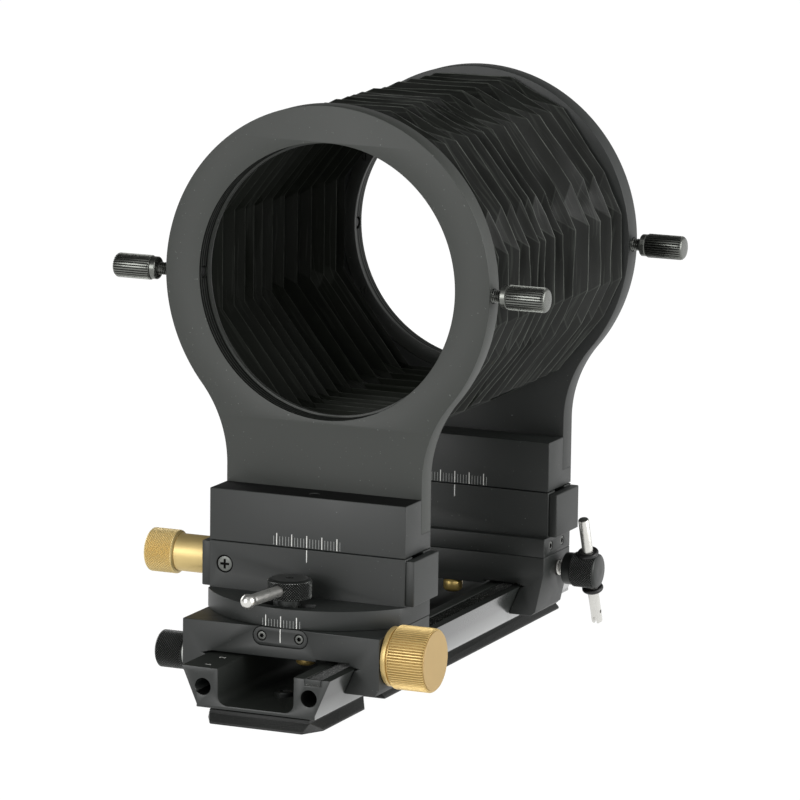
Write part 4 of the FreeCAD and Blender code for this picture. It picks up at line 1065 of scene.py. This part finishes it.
# ------------------------------------------------------------ bellows
# Outline of a ridge: both ends of each flat, with a gusset between two flats. A valley has only corners.
RIDGE = [(52.3, -10.2), (52.3, 10.2), (46.0, 23.0), (31.0, 42.15), (13.0, 51.0), (-13.0, 51.0),
         (-31.0, 42.15), (-46.0, 23.0), (-52.3, 10.2), (-52.3, -10.2), (-46.0, -23.0), (-31.0, -42.15),
         (-13.0, -51.0), (13.0, -51.0), (31.0, -42.15), (46.0, -23.0)]
VALLEY = [(45.0, 15.0), (21.5, 45.0), (-21.5, 45.0), (-45.0, 15.0), (-45.0, -15.0), (-21.5, -45.0),
          (21.5, -45.0), (45.0, -15.0)]
# Places along the rail, from the front standard's front face.
RIDGE_Y = [21.5, 29.3, 38.3, 46.3, 53.5, 59.2, 65.8, 74.0, 83.1, 94.1, 104.2, 114.0, 122.5]
VALLEY_Y = [19.3, 25.4, 33.8, 42.3, 49.9, 56.35, 62.5, 69.9, 78.55, 88.6, 99.15, 109.1, 118.25, 124.8]
STEADY = (38.3, 94.1)       # ridges where the cloth passes from one pair of bodies to the next
CHAIN = [(19.3, 25.4, "front_standard", "swing_stage"), (25.4, 38.3, "swing_stage", "front_carriage"),
         (38.3, 94.1, "front_carriage", "base"), (94.1, 118.25, "base", "rear_carriage"),
         (118.25, 124.8, "rear_carriage", "rear_standard")]
# Steps across a flat, across a gusset, and from valley to ridge, close together beside each crease.
FLAT = [0.0, 0.018, 0.18, 0.34, 0.5, 0.66, 0.82, 0.982]
GUSSET = [0.0, 0.03, 0.28, 0.5, 0.72, 0.97]
ACROSS = [0.0, 0.02, 0.2, 0.4, 0.6, 0.8, 0.975, 1.0]
CORNERS = len(VALLEY)


def waver(x, y, z, scale):
    """Smooth unevenness between about -1 and 1."""
    return noise.noise(Vector((x * scale, y, z * scale)))


def ridge_shift(p, number):
    """How far a ridge wanders along the rail at a point of its outline."""
    if RIDGE_Y[number] in STEADY:
        return 0.0
    return 2.0 * waver(p.x, number * 2.3, p.y, 0.035) + 1.0 * waver(p.x, number * 4.7 + 5, p.y, 0.11)


def fold_ring(u, valley_y, number, seed):
    """Ring of points u of the way from a valley to a ridge: the flats and the gussets between them."""
    points = []
    for i in range(CORNERS):
        a, b, c = [Vector(RIDGE[(2 * i + j) % len(RIDGE)]) for j in range(3)]
        low, high = Vector(VALLEY[i - 1]), Vector(VALLEY[i])
        lean = 0.0 if RIDGE_Y[number] in STEADY else 0.7 * math.sin(number * 2.4 + i * 1.9)
        points += [(low.lerp(high, s), a.lerp(b, s), math.sin(math.pi * s), 0.0) for s in FLAT]
        points += [(high, b.lerp(c, s), 0.0, lean * (1 - abs(2 * s - 1))) for s in GUSSET]
    ring = []
    free = math.sin(math.pi * u)
    for valley, ridge, bow, lean in points:
        p = valley.lerp(ridge, u)
        y = valley_y + (RIDGE_Y[number] + ridge_shift(ridge, number) + lean - valley_y) * u
        slack = 0.7 * waver(p.x, seed * 3.1, p.y, 0.06) + 0.3 * waver(p.x, seed * 1.7 + 9, p.y, 0.2)
        y += (0.3 * bow + slack) * free
        p *= 1 + (0.010 * waver(ridge.x, number * 1.9 + 3, ridge.y, 0.05) - 0.004) * u
        ring.append((p.x, y + FRONT_Y, p.y + RING_Z))
    return ring


def bellows_piece(index, halves, y0, y1):
    """One run of half folds between two places along the rail, as a thin sheet."""
    per = CORNERS * (len(FLAT) + len(GUSSET))
    corner = [0.24 if s == 0.0 else 0.0 for s in FLAT + GUSSET] * CORNERS
    verts, faces, crease = [], [], []
    for n, (valley_y, number, seed, rising) in enumerate(halves):
        for u in (ACROSS if rising else reversed(ACROSS)):
            if n and u == (ACROSS[0] if rising else ACROSS[-1]):
                continue
            verts += fold_ring(u, valley_y, number, seed)
            crease += [{0.0: -0.5, 1.0: 0.85}.get(u, line) for line in corner]
    for j in range(len(verts) // per - 1):
        for i in range(per):
            k = (i + 1) % per
            faces.append((j * per + i, (j + 1) * per + i, (j + 1) * per + k, j * per + k))
    obj = add_mesh("bellows_fold_%02d" % index, verts, faces)
    attribute(obj, "crease", crease)
    rework(obj.data, weld(0.01), outward)
    step = obj.modifiers.new("cloth", "SOLIDIFY")
    step.thickness = 0.35 * MM
    step.offset = 0.0
    settle(obj)
    obj.data.materials.clear()
    obj.data.materials.append(material["cloth"])
    mark(obj, (lambda at, normal: normal.x * at.x + normal.z * (at.z - RING_Z) < 0, "lining"))
    shade(obj, 38)
    for a0, a1, near, far in CHAIN:
        if a0 - 0.01 <= y0 and y1 <= a1 + 0.01:
            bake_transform(obj)
    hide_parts("bellows")


half_folds = []
for n, ridge in enumerate(RIDGE_Y):
    half_folds += [(VALLEY_Y[n], ridge, (VALLEY_Y[n], n, 2 * n, True)),
                   (ridge, VALLEY_Y[n + 1], (VALLEY_Y[n + 1], n, 2 * n + 1, False))]
stops = sorted(VALLEY_Y + list(STEADY))
for i, (y0, y1) in enumerate(zip(stops, stops[1:])):
    bellows_piece(i, [half for low, high, half in half_folds if low >= y0 and high <= y1], y0, y1)
